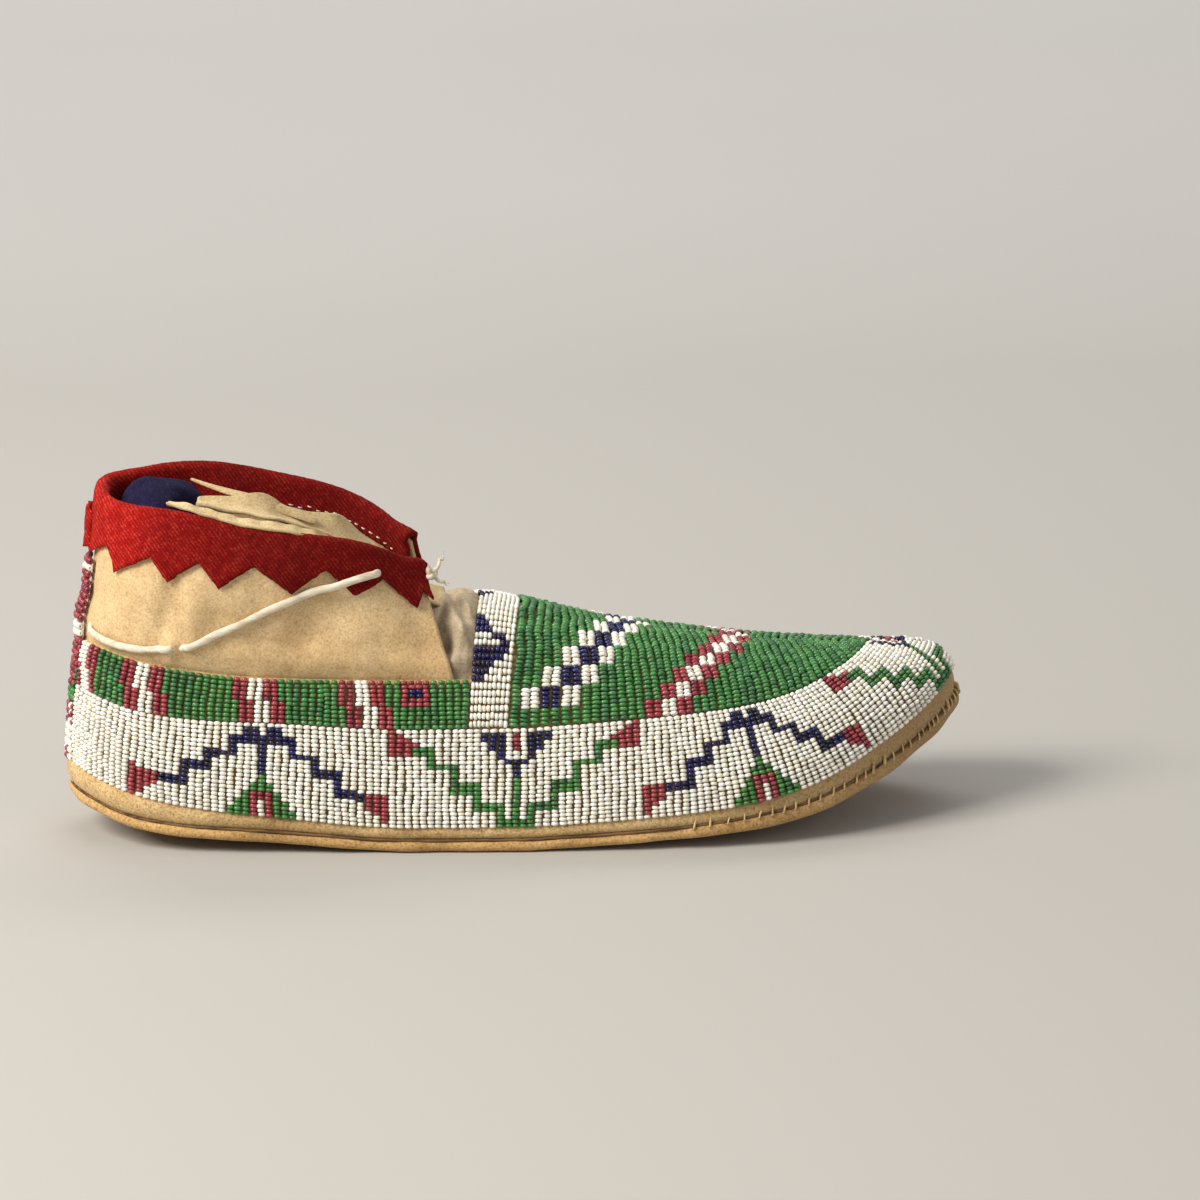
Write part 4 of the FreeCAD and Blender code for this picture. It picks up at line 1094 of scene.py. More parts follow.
# ---------------------------------------------------------------- form of the soft cuff
class Cuff:
    """Outer face of one side's cuff with its folds; v is 0 at the topline and 1 at the rim."""
    def __init__(self, side):
        self.side = side
        sign, front = side.sign, side.front
        self.l = np.arange(-6.0, front+1.51, 0.75)
        self.v = v = np.linspace(-0.08, 1.08, 59)
        points = np.zeros((len(self.l), len(v), 3))
        for i, l in enumerate(self.l):
            low = np.array(side.rib(l, side.topline_turn(l)))
            rim = np.array([curve(l) for curve in side.rim])
            bulge = (1.6-2.1*bell(l, 13.0))*4*np.clip(v*(1-v), 0, 1)
            points[i] = low+(rim-low)*v[:, None]+side.outward3(l)*bulge[:, None]
        normals = self.face_normals(points)
        self.height = np.linalg.norm(points[:, np.argmin(abs(v-1))]
                                     - points[:, np.argmin(abs(v))], axis=1)
        l, v = np.meshgrid(self.l, v, indexing="ij")
        points = points+normals*self.folds(l, v, points[..., 0])[..., None]
        upper = smooth(0.6, 1.0, v)
        points[..., 2] += 0.55*self.rim_waves(l+40, 0.0)*upper
        if sign < 0:
            points[..., 2] -= 1.1*bell(points[..., 0]-46, 13.0)*upper
        # the front edge leans forward at its foot and back at its rim
        forward = smooth(front-15, front, l)*(2.3-3.4*v)*(1.0 if sign < 0 else 0.6)
        points = points+unit(np.gradient(points, axis=0))*forward[..., None]
        self.points, self.normals = points, self.face_normals(points)

    def face_normals(self, points):
        return unit(-self.side.sign*np.cross(np.gradient(points, axis=0),
                                             np.gradient(points, axis=1)))

    def folds(self, l, v, x):
        """Height of the soft folds off the smooth cuff."""
        sign = self.side.sign
        broad = waves(51+sign, 7, 22.0, 70.0)
        small = waves(61+sign, 7, 9.0, 24.0)
        self.rim_waves = waves(71+sign, 5, 30.0, 90.0)
        body = np.sin(math.pi*np.clip(v, 0, 1))
        z = v*50.0
        depth = 0.9*broad(l, z*0.6)*body+0.28*small(l, z*0.5)*body
        depth = depth+1.0*bell(v-0.14, 0.10)
        # pucker where the thong passes through
        depth = depth+1.5*1.25*bell(x-30.0, 1.9)*bell(v-0.13, 0.10)
        # pull lines: height, x at the topline, forward slope, width, v it fades in and out over
        for height, foot_x, slope, width, fade_in, fade_out in (
                (-1.1, 25.5, 10, 3.4, (0.05, 0.2), (0.45, 0.75)),
                (0.9, 33.5, 8, 4.5, (0.1, 0.3), (0.5, 0.8)),
                (-0.9, 60, 30, 7.0, (0.1, 0.35), (0.5, 0.85))):
            line = height*bell(x-foot_x-slope*v, width)
            depth = depth+line*smooth(*fade_in, v)*(1-smooth(*fade_out, v))
        return depth+0.7*self.rim_waves(l, 0.0)*smooth(0.6, 1.0, v)*smooth(4, 20, l)

    def look_up(self, table, l, v):
        l, v = np.broadcast_arrays(np.asarray(l, float), np.asarray(v, float))
        a = np.clip((l-self.l[0])/(self.l[1]-self.l[0]), 0, len(self.l)-1.001)
        b = np.clip((v-self.v[0])/(self.v[1]-self.v[0]), 0, len(self.v)-1.001)
        i, j = a.astype(int), b.astype(int)
        a, b = (a-i)[..., None], (b-j)[..., None]
        return (table[i, j]*(1-a)*(1-b)+table[i+1, j]*a*(1-b)
                + table[i, j+1]*(1-a)*b+table[i+1, j+1]*a*b)

    def normal(self, l, v):
        return unit(self.look_up(self.normals, l, v))

    def at(self, l, v, off=0.0):
        point = self.look_up(self.points, l, v)
        return point+self.normal(l, v)*np.asarray(off)[..., None]

    def high(self, l):
        return float(np.interp(l, self.l, self.height))

    def l_at_x(self, x, v=0.8):
        j = int(np.argmin(abs(self.v-v)))
        ahead = self.l >= 4
        return float(np.interp(x, self.points[ahead, j, 0], self.l[ahead]))

    def v_at_z(self, l, z):
        v = np.linspace(0, 1, 60)
        return float(np.interp(z, self.at(l, v)[:, 2], v))


CUFF_LAT, CUFF_MED = CUFFS = Cuff(LAT), Cuff(MED)


# ---------------------------------------------------------------- heel strip of beads
def back_point(kind, level, run):
    """Point and normal run mm round from the middle of the back, lateral side positive."""
    cuff = CUFF_LAT if run >= 0 else CUFF_MED
    if kind == "hide":
        points, normals = cuff.side.at(abs(run), [level])
        return points[0], normals[0]
    return cuff.at(abs(run), level), cuff.normal(abs(run), level)


def heel_colours(z, count):
    if z < 24:
        return np.where(np.arange(count) % 4 < 2, ROSE, WHITE)
    if z < 31 or 58 <= z < 62.5 or 77 <= z < 79.5:
        return np.full(count, WHITE)
    colours = np.full(count, GREEN if 37.5 <= z < 43 else ROSE)
    if z < 37.5:
        colours[[1, 6]] = WHITE
    if 43 <= z < 49:
        colours[[0, 7]] = GREEN
    return colours


def heel_beads():
    """Short strands across the back seam, from the sole up over the cuff."""
    beads = Beads(151)
    levels = [("hide", arc) for arc in np.arange(LAT.bare_top(0.0)-0.9, LAT.topline(0.0), 0.5)]
    levels += [("cuff", d/CUFF_LAT.high(0.0)) for d in np.arange(0.0, 24.0, 0.5)]
    middle = np.array([back_point(kind, level, 0.01)[0] for kind, level in levels])
    run = running_length(middle)
    rows, count, spacing = int(run[-1]/2.12), 8, 1.24
    t = (np.arange(count)+0.5)/count
    for j in range(rows):
        k = min(int(np.searchsorted(run, (j+0.5)*run[-1]/rows)), len(levels)-1)
        kind, level = levels[k]
        places = (np.arange(count)-(count-1)/2)*spacing+0.35*math.sin(j*1.7)
        points, normals = (np.array(column) for column in
                           zip(*(back_point(kind, level, s) for s in places)))
        normals = unit(normals)
        raised = LIFT+0.35+0.55*np.sin(math.pi*t)+(0.3 if kind == "cuff" else 0.0)
        beads.strand(points+normals*raised[:, None], unit(np.gradient(points, axis=0)),
                     normals, spacing, 2.02, BEAD_HEIGHT, heel_colours(middle[k][2], count))
    beads.mesh("beads_heel")


heel_beads()
for piece, name in bead_pieces:
    attach(piece, name)

# ---------------------------------------------------------------- rawhide sole
SOLE_STEPS = 170      # along each side
# the sole's rim from below to above: distance in from the edge, height above the underside
SOLE_RIM = ((3.2, 0.10), (1.5, 0.0), (0.45, 0.35), (-0.10, 1.1), (-0.15, 1.9), (0.15, 2.7),
            (0.75, 3.15), (1.5, 3.2), (3.0, 3.05))


def sole_fill(ring, lift):
    """Surface inside a ring that runs heel to toe on the lateral side and back."""
    count = SOLE_STEPS
    lateral = ring[:count+1]
    medial = np.concatenate([ring[:1], ring[count+1:][::-1], ring[count:count+1]])
    t = np.linspace(0, 1, 11)[None, :, None]
    grid = lateral[:, None, :]*(1-t)+medial[:, None, :]*t
    inner = grid[:, 1:10]
    inner[..., 2] = np.array([[sole_z(p[0]) for p in row] for row in inner])+lift
    return grid


def outsole():
    edge = []
    for side, ls in ((LAT, np.linspace(0, LAT.length, SOLE_STEPS+1)),
                     (MED, np.linspace(MED.length, 0, SOLE_STEPS+1)[1:-1])):
        edge += [side.foot(l)+side.outward(l) for l in ls]
    x, y, out_x, out_y = np.array(edge).T
    toe_lip = smooth(160, 200, x)
    ragged = 0.45*waves(81, 9, 14.0, 60.0)(x, y)
    wear = 0.35*waves(83, 6, 9, 26)(x, y)
    base = np.array([sole_z(v) for v in x])
    rings = []
    for inset, height in SOLE_RIM:
        share = height/SOLE_THICK
        lip_share = 1 if inset < 1.2 else 0.35 if inset < 2 else 0.0
        out = ragged*(1 if inset < 2 else 0.6)-inset
        z = base+height+toe_lip*(1.5*share*share)*lip_share
        if inset < 2:
            z = z+wear*0.5*share
        rings.append(np.stack([x+out_x*out, y+out_y*out, z], -1))
    rim = np.array(rings).transpose(1, 0, 2)
    bottom, top = sole_fill(rim[:, 0], 0.0), sole_fill(rim[:, -1], 3.0)
    inner = bottom[:, 1:10]
    uneven_z = 0.12*waves(84, 6, 14, 50)(inner[..., 0], inner[..., 1])
    inner[..., 2] = np.maximum(inner[..., 2]+uneven_z, 0.0)
    piece = build("outsole", [(rim, grid_faces(*rim.shape[:2], True, False)),
                              (bottom, grid_faces(*bottom.shape[:2])),
                              (top, grid_faces(*top.shape[:2], flip=True))],
                  RAWHIDE, merge=0.01)
    attach(piece, "outsole")


outsole()


# ---------------------------------------------------------------- hide upper
def bare_swell(side, l, arcs):
    """How far the bare strip rolls out between the sole seam and the first lane."""
    x = side.foot(l)[0]
    toe, heel = float(smooth(165, 215, x)), float(1-smooth(15, 60, x))
    amount = 1.35*(1-toe)+0.55*toe+0.6*heel
    t = np.clip(arcs/side.bare_top(l), 0, 1.35)
    return amount*np.sin(math.pi*np.clip(t/1.25, 0, 1))**0.9-0.45*bell(arcs, 0.7)


def upper():
    swell_waves = waves(91, 8, 12, 50)
    back_rows = 96
    crown = np.linspace(119.4, 244.9, 66)
    ls = {}
    for side in SIDES:
        back = np.linspace(0, side.l_at_crown(119.35), back_rows)
        ls[side] = np.concatenate([back, [side.l_at_crown(x) for x in crown]])
        ls[side][-1] = side.length
    count = len(ls[LAT])

    def low_row(side, l, off):
        top = side.topline(l) if side.end(l) > side.topline(l)+0.05 else side.end(l)
        bend = min(side.bare_top(l)*1.3, top*0.6)
        arcs = np.concatenate([np.linspace(0, bend, 12), np.linspace(bend, top, 16)[1:]])
        points, normals = side.at(l, arcs)
        swell = bare_swell(side, l, arcs)*(1+0.18*swell_waves(l, 0))+off
        return points+normals*swell[:, None]

    def low_grid(off):
        grid = np.array([low_row(LAT, l, off) for l in ls[LAT]]
                        + [low_row(MED, l, off) for l in ls[MED][::-1][1:]])
        # the halves meet on the crown beyond the last cross row
        for i in range(cross_rows[-1]+1, count-1):
            j = 2*count-2-i
            grid[i, -1] = grid[j, -1] = (grid[i, -1]+grid[j, -1])/2
        return grid

    def top_row(i, off):
        rows = []
        for side in SIDES:
            l = ls[side][i]
            end = side.end(l)
            points, normals = side.at(l, np.linspace(min(side.topline(l), end), end, 14))
            rows.append(points+normals*off)
        return join_rows(*rows)

    cross_rows = [i for i in range(back_rows, count)
                  if LAT.end(ls[LAT][i]) > LAT.topline(ls[LAT][i])+0.3]
    top, top_inner = (np.array([top_row(i, off) for i in cross_rows])
                      for off in (0.0, -HIDE_THICK))
    piece = build("upper", [shell(low_grid(0.0), low_grid(-HIDE_THICK)),
                            shell(top, top_inner)], LOWER_HIDE, merge=0.03)
    attach(piece, "upper")


def join_rows(lateral, medial):
    """One row over the crown from two rows that climb to it."""
    middle = (lateral[-1:]+medial[-1:])/2
    return np.concatenate([lateral[:-1], middle, medial[:-1][::-1]])


upper()


# ---------------------------------------------------------------- cuff
def cuff_piece(cuff):
    front = cuff.side.front
    l, v = np.meshgrid(np.linspace(0.0, front, 120),
                       np.concatenate([[-0.05, -0.02], np.linspace(0.01, 1.0, 34)]),
                       indexing="ij")
    # the cut front edge curls a little away from the foot
    curl = 0.5*smooth(front-7, front, l)*np.sin(math.pi*np.clip(v, 0, 1))
    off = curl-0.5*(v < 0)
    return build("cuff_"+cuff.side.word,
                 [shell(cuff.at(l, v, off), cuff.at(l, v, off-HIDE_THICK))], CUFF_HIDE)


# the lateral pieces also stand in for the heel's
for cuff in CUFFS:
    heel = ["cuff_heel"] if cuff is CUFF_LAT else []
    attach_flap(cuff_piece(cuff), cuff.side, "hide", "cuff_"+cuff.side.word, *heel)

# ---------------------------------------------------------------- wool edging
# x of the valleys and points of the edging's zigzag
VALLEYS = {-1: [13.6, 25.4, 38.4, 53.5, 73.7, 90.5], 1: [14.5, 27.0, 40.0, 53.5, 72.0, 89.0]}
TIPS = {-1: [15.9, 29.8, 44.2, 65.0, 83.0, 99.0], 1: [16.5, 32.0, 46.5, 63.0, 81.0, 98.0]}


def inner_depth(cuff, l):
    return valley_depth(cuff.at(l, 0.8)[0])+0.9


def edging_leg(cuff, l, depths, gap, thin, direction):
    """Face and back of a leg of wool lying off the cuff at depths below the rim."""
    v = 1-depths/cuff.high(l)
    points, normals = cuff.at(l, v), direction*cuff.normal(l, v)
    return [points+normals*(gap+WOOL_THICK*share)[:, None] for share in (thin, 1-thin)]


def edging_section(cuff, l, outer, inner, lift_waves):
    """Face and back of the wool at l: outer leg, fold over the rim, inner leg."""
    front = cuff.side.front
    fan = float(smooth(front-9, front, l))
    behind = float(1-smooth(-1.0, 5.0, l))
    depths = np.linspace(outer, 0.4, 12)
    flare = ((0.30+0.30*lift_waves(l, depths))*(depths/max(outer, 1))**3
             + fan*0.6*(depths/outer)+behind*(0.15+0.25*smooth(1.5, 9, depths)))
    thin = np.where(np.arange(12) == 0, 0.55, 1.0)
    outer_face, outer_back = edging_leg(cuff, l, depths, 0.15+flare, thin, 1)
    rim, out = cuff.at(l, 1.0), cuff.normal(l, 0.97)
    up = unit(rim-cuff.at(l, 0.92))
    centre = rim-out*HIDE_THICK/2
    turn = np.radians([25, 60, 90, 120, 155])[:, None]
    around = out*np.cos(turn)+up*np.sin(turn)
    radius = HIDE_THICK/2+(0.15+fan*1.3)
    depths = np.linspace(0.4, inner, 9)
    spread = 0.15+fan*1.6*(depths/inner)+0.25*(depths/inner)**2
    thin = np.where(np.arange(9) == 8, 0.55, 1.0)
    inner_face, inner_back = edging_leg(cuff, l, depths, HIDE_THICK+spread, thin, -1)
    return (np.concatenate([outer_face, centre+around*(radius+WOOL_THICK), inner_face]),
            np.concatenate([outer_back, centre+around*radius, inner_back]))


def edging_lap(cuff):
    """The lateral leg's own end, lapped round the back seam."""
    face, back = [], []
    for l in np.linspace(-5.2, 2.6, 12):
        t = (l+5.2)/7.8
        depths = np.linspace(4.6+0.5*math.sin(l*1.3), 17.6-0.25*(l+5), 14)
        v = 1-depths/cuff.high(max(l, 0.0))
        points, normals = cuff.at(l, v), cuff.normal(l, v)
        rise = (0.15+WOOL_THICK+0.25+0.35*(1-t)-0.75*smooth(0.75, 1.0, t)
                + 0.2*np.sin(depths*0.6+l))
        face.append(points+normals*(rise+1.25)[:, None])
        back.append(points+normals*rise[:, None])
    return shell(np.array(face), np.array(back))


def edging_piece(cuff):
    side = cuff.side
    sign, front = side.sign, side.front
    # l against depth of the outer leg
    knots = [(-4.0, 15.0), (1.2, 18.0), (front-2.6, 6.8), (front+0.4, 8.4)]
    knots += [(cuff.l_at_x(x), valley_depth(x)) for x in VALLEYS[sign]]
    knots += [(cuff.l_at_x(x), tip_depth(x)) for x in TIPS[sign]]
    knots = np.array(sorted(knots))
    start, end = (-2.4 if sign < 0 else -0.4), front+0.3
    inside = (knots[:, 0] > start) & (knots[:, 0] < end)
    ls = np.unique(np.concatenate([np.arange(start, end, 0.7), knots[inside, 0],
                                   [start, end]]))
    ls = ls[np.concatenate([[True], np.diff(ls) > 0.12])]
    ragged = np.random.RandomState(17+sign)
    outer = np.interp(ls, knots[:, 0], knots[:, 1])+ragged.normal(0, 0.12, len(ls))
    inner = np.array([inner_depth(cuff, l) for l in ls])+ragged.normal(0, 0.12, len(ls))
    lift_waves = waves(95+sign, 6, 8, 26)
    face, back = zip(*(edging_section(cuff, *row, lift_waves) for row in zip(ls, outer, inner)))
    parts = [shell(np.array(face), np.array(back))]
    if sign < 0:
        parts.append(edging_lap(cuff))
    piece = build("edging_"+side.word, parts, RED_WOOL, merge=0.01)
    # fuzz the surface
    points = np.array([v.co for v in piece.data.vertices])
    normals = np.array([v.normal for v in piece.data.vertices])
    fuzz = noise3(points*1000, 0.9, 3.0)*0.10+noise3(points*1000, 2.3, 9.0)*0.07
    points = points+normals*(fuzz/1000)[:, None]
    piece.data.vertices.foreach_set("co", points.ravel())
    piece.data.update()
    return piece


for cuff in CUFFS:
    heel = ["edging_heel"] if cuff is CUFF_LAT else []
    attach_flap(edging_piece(cuff), cuff.side, "wool_red", "edging_"+cuff.side.word, *heel)


def edging_stitches(cuff):
    """White stitches along the inner leg of the edging."""
    side = cuff.side
    parts = []
    draw = np.random.RandomState(23+side.sign)
    off = -(HIDE_THICK+1.62)
    for l in np.arange(22.0, side.front-6, 2.9):
        depth = inner_depth(cuff, l)-2.0+draw.normal(0, 0.25)
        high = cuff.high(l)
        start = cuff.at(l-0.55, 1-depth/high, off)
        end = cuff.at(l+0.55, 1-(depth+draw.normal(0, 0.2))/high, off)
        middle = (start+end)/2-cuff.normal(l, 1-depth/high)*0.25
        parts.append(cord([start, middle, end], 0.2, around=6))
    return build("edging_stitches_"+side.word, parts, THONG, merge=0)


for cuff in CUFFS:
    attach_flap(edging_stitches(cuff), cuff.side, "sinew")


# ---------------------------------------------------------------- tongue
def tongue_root():
    """Creased hide over the instep between the cuff's fronts and the throat beads."""
    creases = waves(97, 8, 5, 18)
    outer, inner = [], []
    start, length = 104.5, 16.1
    for crown_x in np.linspace(start, start+length, 34):
        halves = []
        for side in SIDES:
            l = side.l_at_crown(crown_x)
            halves.append(side.at(l, np.linspace(side.topline(l)-3.5, side.end(l), 22)))
        points = join_rows(halves[0][0], halves[1][0])
        middle = unit(halves[0][1][-1:]+halves[1][1][-1:])
        normals = np.concatenate([halves[0][1][:-1], middle, halves[1][1][:-1][::-1]])
        x, y, z = points.T
        off = np.interp((crown_x-start)/length, [0, 0.18, 0.42, 0.62, 0.80, 0.93, 1.0],
                        [-3.4, -1.6, 0.9, 2.1, 1.9, 0.6, -0.6])
        off = off+0.55*creases(x*0.6, z+0.4*y)
        # lateral side: a roll with a crease and a lesser roll ahead of it, then dimples
        lateral = y < 0
        roll = 108.9+(66.0-z)*0.50
        for height, ahead, width, fade in ((1.9, 0, 1.7, (56.5, 59.5)),
                                           (-1.2, 3.2, 1.3, (58.0, 62)),
                                           (0.7, 5.4, 1.2, (59.0, 63))):
            off = off+height*bell(x-roll-ahead, width)*smooth(*fade, z)*lateral
        for height, at_x, width_x, at_z, width_z in ((2.6, 113.2, 2.1, 58.4, 2.0),
                                                     (-4.2, 109.2, 1.7, 56.6, 2.6),
                                                     (-1.6, 113.0, 3.0, 54.2, 1.3)):
            off = off+height*bell(x-at_x, width_x)*bell(z-at_z, width_z)*lateral
        tucked = 1-smooth(48.5, 52.5, z)
        off = off*(1-tucked)-1.5*tucked
        outer.append(points+normals*off[:, None])
        inner.append(points+normals*(off-1.3)[:, None])
    piece = build("tongue_root", [shell(np.array(outer), np.array(inner))], ROOT_HIDE,
                  subdivisions=1)
    attach(piece, "tongue_root")


tongue_root()

root_l = LAT.l_at_crown(107.5)
root_z = LAT.at(root_l, [LAT.end(root_l)])[0][0][2]-HIDE_THICK+0.5
# middle of the flap: x, y, z above root_z, half width
FLAP = [(110.0, 0.0, -0.6, 8.5), (106.0, 0.0, 0.5, 8.2), (101.0, -0.6, 3.4, 7.6),
        (94.0, -2.4, 9.4, 7.0), (86.0, -5.8, 15.4, 6.6), (77.0, -9.8, 20.6, 6.2),
        (68.0, -13.2, 25.0, 5.8), (59.0, -15.6, 28.0, 5.4), (50.0, -16.6, 30.4, 4.4),
        (43.0, -16.4, 31.8, 2.9), (38.0, -15.6, 32.4, 1.3)]
# narrow end that stands up over the wool wad: x, y, z above root_z
FLAP_END = [(72.0, -10.5, 25.4), (62.0, -11.5, 29.6), (54.0, -11.0, 32.6),
            (47.0, -9.6, 34.4), (41.0, -8.2, 36.2), (37.0, -7.4, 37.6)]
# strip inside the lateral rim: x, distance in from the rim, rise above it
RIM_STRIP = [(86.0, 8.5, -4.6), (80.0, 5.4, -1.8), (73.0, 2.7, 1.0), (65.0, 1.2, 2.2),
             (57.0, 0.9, 2.6), (49.0, 1.0, 2.7), (42.0, 1.2, 2.8), (36.0, 1.6, 2.9),
             (31.0, 2.4, 2.9), (27.5, 3.4, 2.7)]


def flap_leaf():
    curve = spline_path(FLAP, 70)
    path = curve[:, :3].copy()
    path[:, 2] += root_z
    half_width = np.maximum(curve[:, 3], 0.5)
    along = unit(np.gradient(path, axis=0))
    t = np.linspace(-1, 1, 15)
    broad, small = waves(103, 6, 12, 40), waves(105, 6, 6, 16)
    level = np.array([0, 1.0, 0.10])
    outer, inner = [], []
    for point, ahead, half, s in zip(path, along, half_width, np.linspace(0, 1, len(path))):
        across = unit(level-ahead*(level@ahead))
        up = np.cross(ahead, across)
        up = up if up[2] > 0 else -up
        free = float(smooth(0.15, 0.5, s))
        y = t*half*(1+0.10*small(s*80, 3.0)*free)
        lobe = 3.2*bell(point[0]-58, 7.0)+2.6*bell(point[0]-80, 8.0)
        z = free*(1.9*t**2+lobe*np.clip(t, 0, 1)**1.3*0.9-0.6*np.clip(-t, 0, 1)**2
                  + 0.5*broad(s*80, y)+0.25*small(s*80, y))
        row = point+across*y[:, None]+up*z[:, None]
        outer.append(row+up*0.6)
        inner.append(row-up*0.6)
    return shell(np.array(outer), np.array(inner))


def flap_end():
    path = spline_path(FLAP_END, 26)
    path[:, 2] += root_z
    width = np.interp(np.linspace(0, 1, 26), [0, 0.3, 0.7, 1], [1.5, 1.9, 1.3, 0.4])
    return cord(path, width, 0.55, around=12, facing=(0.25, -0.55, 0.8))


def rim_strip():
    points = [(98.0, -7.5, root_z+5.6), (92.0, -10.2, root_z+10.4)]
    for x, inset, rise in RIM_STRIP:
        l = CUFF_LAT.l_at_x(x)
        points.append(CUFF_LAT.at(l, 1.0)-CUFF_LAT.normal(l, 0.97)*(inset+0.6)
                      + np.array([0, 0, rise]))
    count = 74
    path = spline_path(points, count)
    s = np.linspace(0, 1, count)
    along = unit(np.gradient(path, axis=0))
    up = np.array([0.0, -0.28, 1.0])
    up = unit(up-along*(along@up)[:, None])
    across = np.cross(along, up)
    half_width = np.interp(s, [0, 0.12, 0.4, 0.75, 0.95, 1], [3.0, 2.9, 2.5, 2.2, 1.5, 0.6])
    crinkle = waves(107, 6, 4, 11)
    t = np.linspace(-1, 1, 11)
    outer, inner = [], []
    for i in range(count):
        z = 0.32*crinkle(s[i]*78, t*2.0)+0.55*t**2
        y = t*half_width[i]*(1+0.08*crinkle(s[i]*78, 9.0))
        row = path[i]+across[i]*y[:, None]+up[i]*z[:, None]
        outer.append(row+up[i]*0.55)
        inner.append(row-up[i]*0.45)
    return shell(np.array(outer), np.array(inner))


flap = build("tongue_flap", [flap_leaf(), flap_end(), rim_strip()], FLAP_HIDE, merge=0.01,
             subdivisions=1)
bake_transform(flap)
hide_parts("tongue_flap")

# ---------------------------------------------------------------- thong drawstring
# places along the side: x, z
THONG_PLACES = ((32.6, 58.4), (37.0, 60.4), (42.0, 62.8), (47.2, 65.2), (54.5, 68.8),
                (62.0, 72.0), (69.0, 74.6), (75.5, 76.6), (82.0, 78.1), (88.8, 78.8))
# places round the heel: l, z
HEEL_THONG_PLACES = ((7.4, 61.6), (10.5, 60.5), (15.0, 59.4), (21.0, 58.6), (28.0, 58.2),
                     (35.0, 58.3), (41.0, 58.6))


def thong(name, cuff, places, count, level_to, start_sink, seed):
    """Cord over the cuff through (l, v) places, with its two ends sunk into the hide."""
    path = spline_path([(l, v*40, 0.0) for l, v in places], count)
    l, v = path[:, 0], path[:, 1]/40
    points, normals = cuff.at(l, v, 1.0), cuff.normal(l, v)
    off = np.interp(np.arange(count), [0, 3, level_to, count-1], [start_sink, 0, 0, -1.6])
    off = off+1.75*smooth(71.0, 77.0, points[:, 0])
    part = cord(points+normals*off[:, None], 1.18*uneven(count, seed, 0.10),
                0.85*uneven(count, seed+2, 0.08), around=12, facing=normals)
    return build(name, [part], THONG, merge=0)


for cuff in CUFFS:
    side = cuff.side
    places = []
    for x, z in THONG_PLACES:
        if side is MED:
            z += max(0.0, x-55)*0.06
        l = cuff.l_at_x(x, cuff.v_at_z(cuff.l_at_x(x, 0.3), z))
        places.append((l, cuff.v_at_z(l, z)))
    name = "thong_"+side.word
    attach_flap(thong(name, cuff, places, 70, 66, -1.8, 3+side.sign), side, "thong", name)
    places = [(l, cuff.v_at_z(l, z)) for l, z in HEEL_THONG_PLACES]
    name = "thong_heel_"+side.word
    attach(thong(name, cuff, places, 34, 31, -1.6, 13+side.sign), name)

# the knot's two loose ends: points from its centre, seed, and the way the fray turns up or down
KNOT_ENDS = (
    ([(0, 0, 0), (1.4, 0.2, 0.7), (2.6, 0.8, 1.9), (3.0, 2.0, 3.6)], 1, (0.3, 0.9)),
    ([(0, 0, 0), (1.2, 0.5, -0.9), (2.4, 0.3, -2.2), (4.2, 1.2, -2.9)], 2, (-0.3, -0.7)),
)


def thong_knot():
    """Small knot with two frayed ends on the front corner of the lateral flap."""
    front = LAT.front
    out = CUFF_LAT.normal(front-1.0, 0.85)
    centre = CUFF_LAT.at(front, 1-1.6/CUFF_LAT.high(front), 1.2)+np.array([1.2, 1.2, 0.3])
    turn = np.linspace(0, 2*math.pi, 60, endpoint=False)
    trefoil = np.stack([np.sin(turn)+2*np.sin(2*turn), np.cos(turn)-2*np.cos(2*turn),
                        -1.2*np.sin(3*turn)], -1)*0.60
    across = unit(np.cross(out, [0, 0, 1.0]))
    axes = np.array([across, np.cross(out, across), out])
    loop = centre+trefoil@axes
    parts = [cord(np.concatenate([loop, loop[:2]]), 0.78*uneven(62, 7, 0.12))]
    for points, seed, (rise, end_rise) in KNOT_ENDS:
        end = spline_path([centre+np.array(p) for p in points], 16)
        parts.append(cord(end, np.linspace(0.75, 0.5, 16)*uneven(16, seed, 0.15), 0.45,
                          around=8, facing=out))
        for k in range(4):
            draw = np.random.RandomState(40+k+10*seed)
            tip = end[-1]
            fray = spline_path([tip, tip+np.array([0.8, 0, rise])+draw.normal(0, 0.4, 3),
                                tip+np.array([1.5, 0, end_rise])+draw.normal(0, 0.6, 3)], 8)
            parts.append(cord(fray, np.linspace(0.22, 0.06, 8), around=5))
    return build("thong_knot", parts, THONG, merge=0)


attach(thong_knot(), "thong_knot", part="lateral_flap")


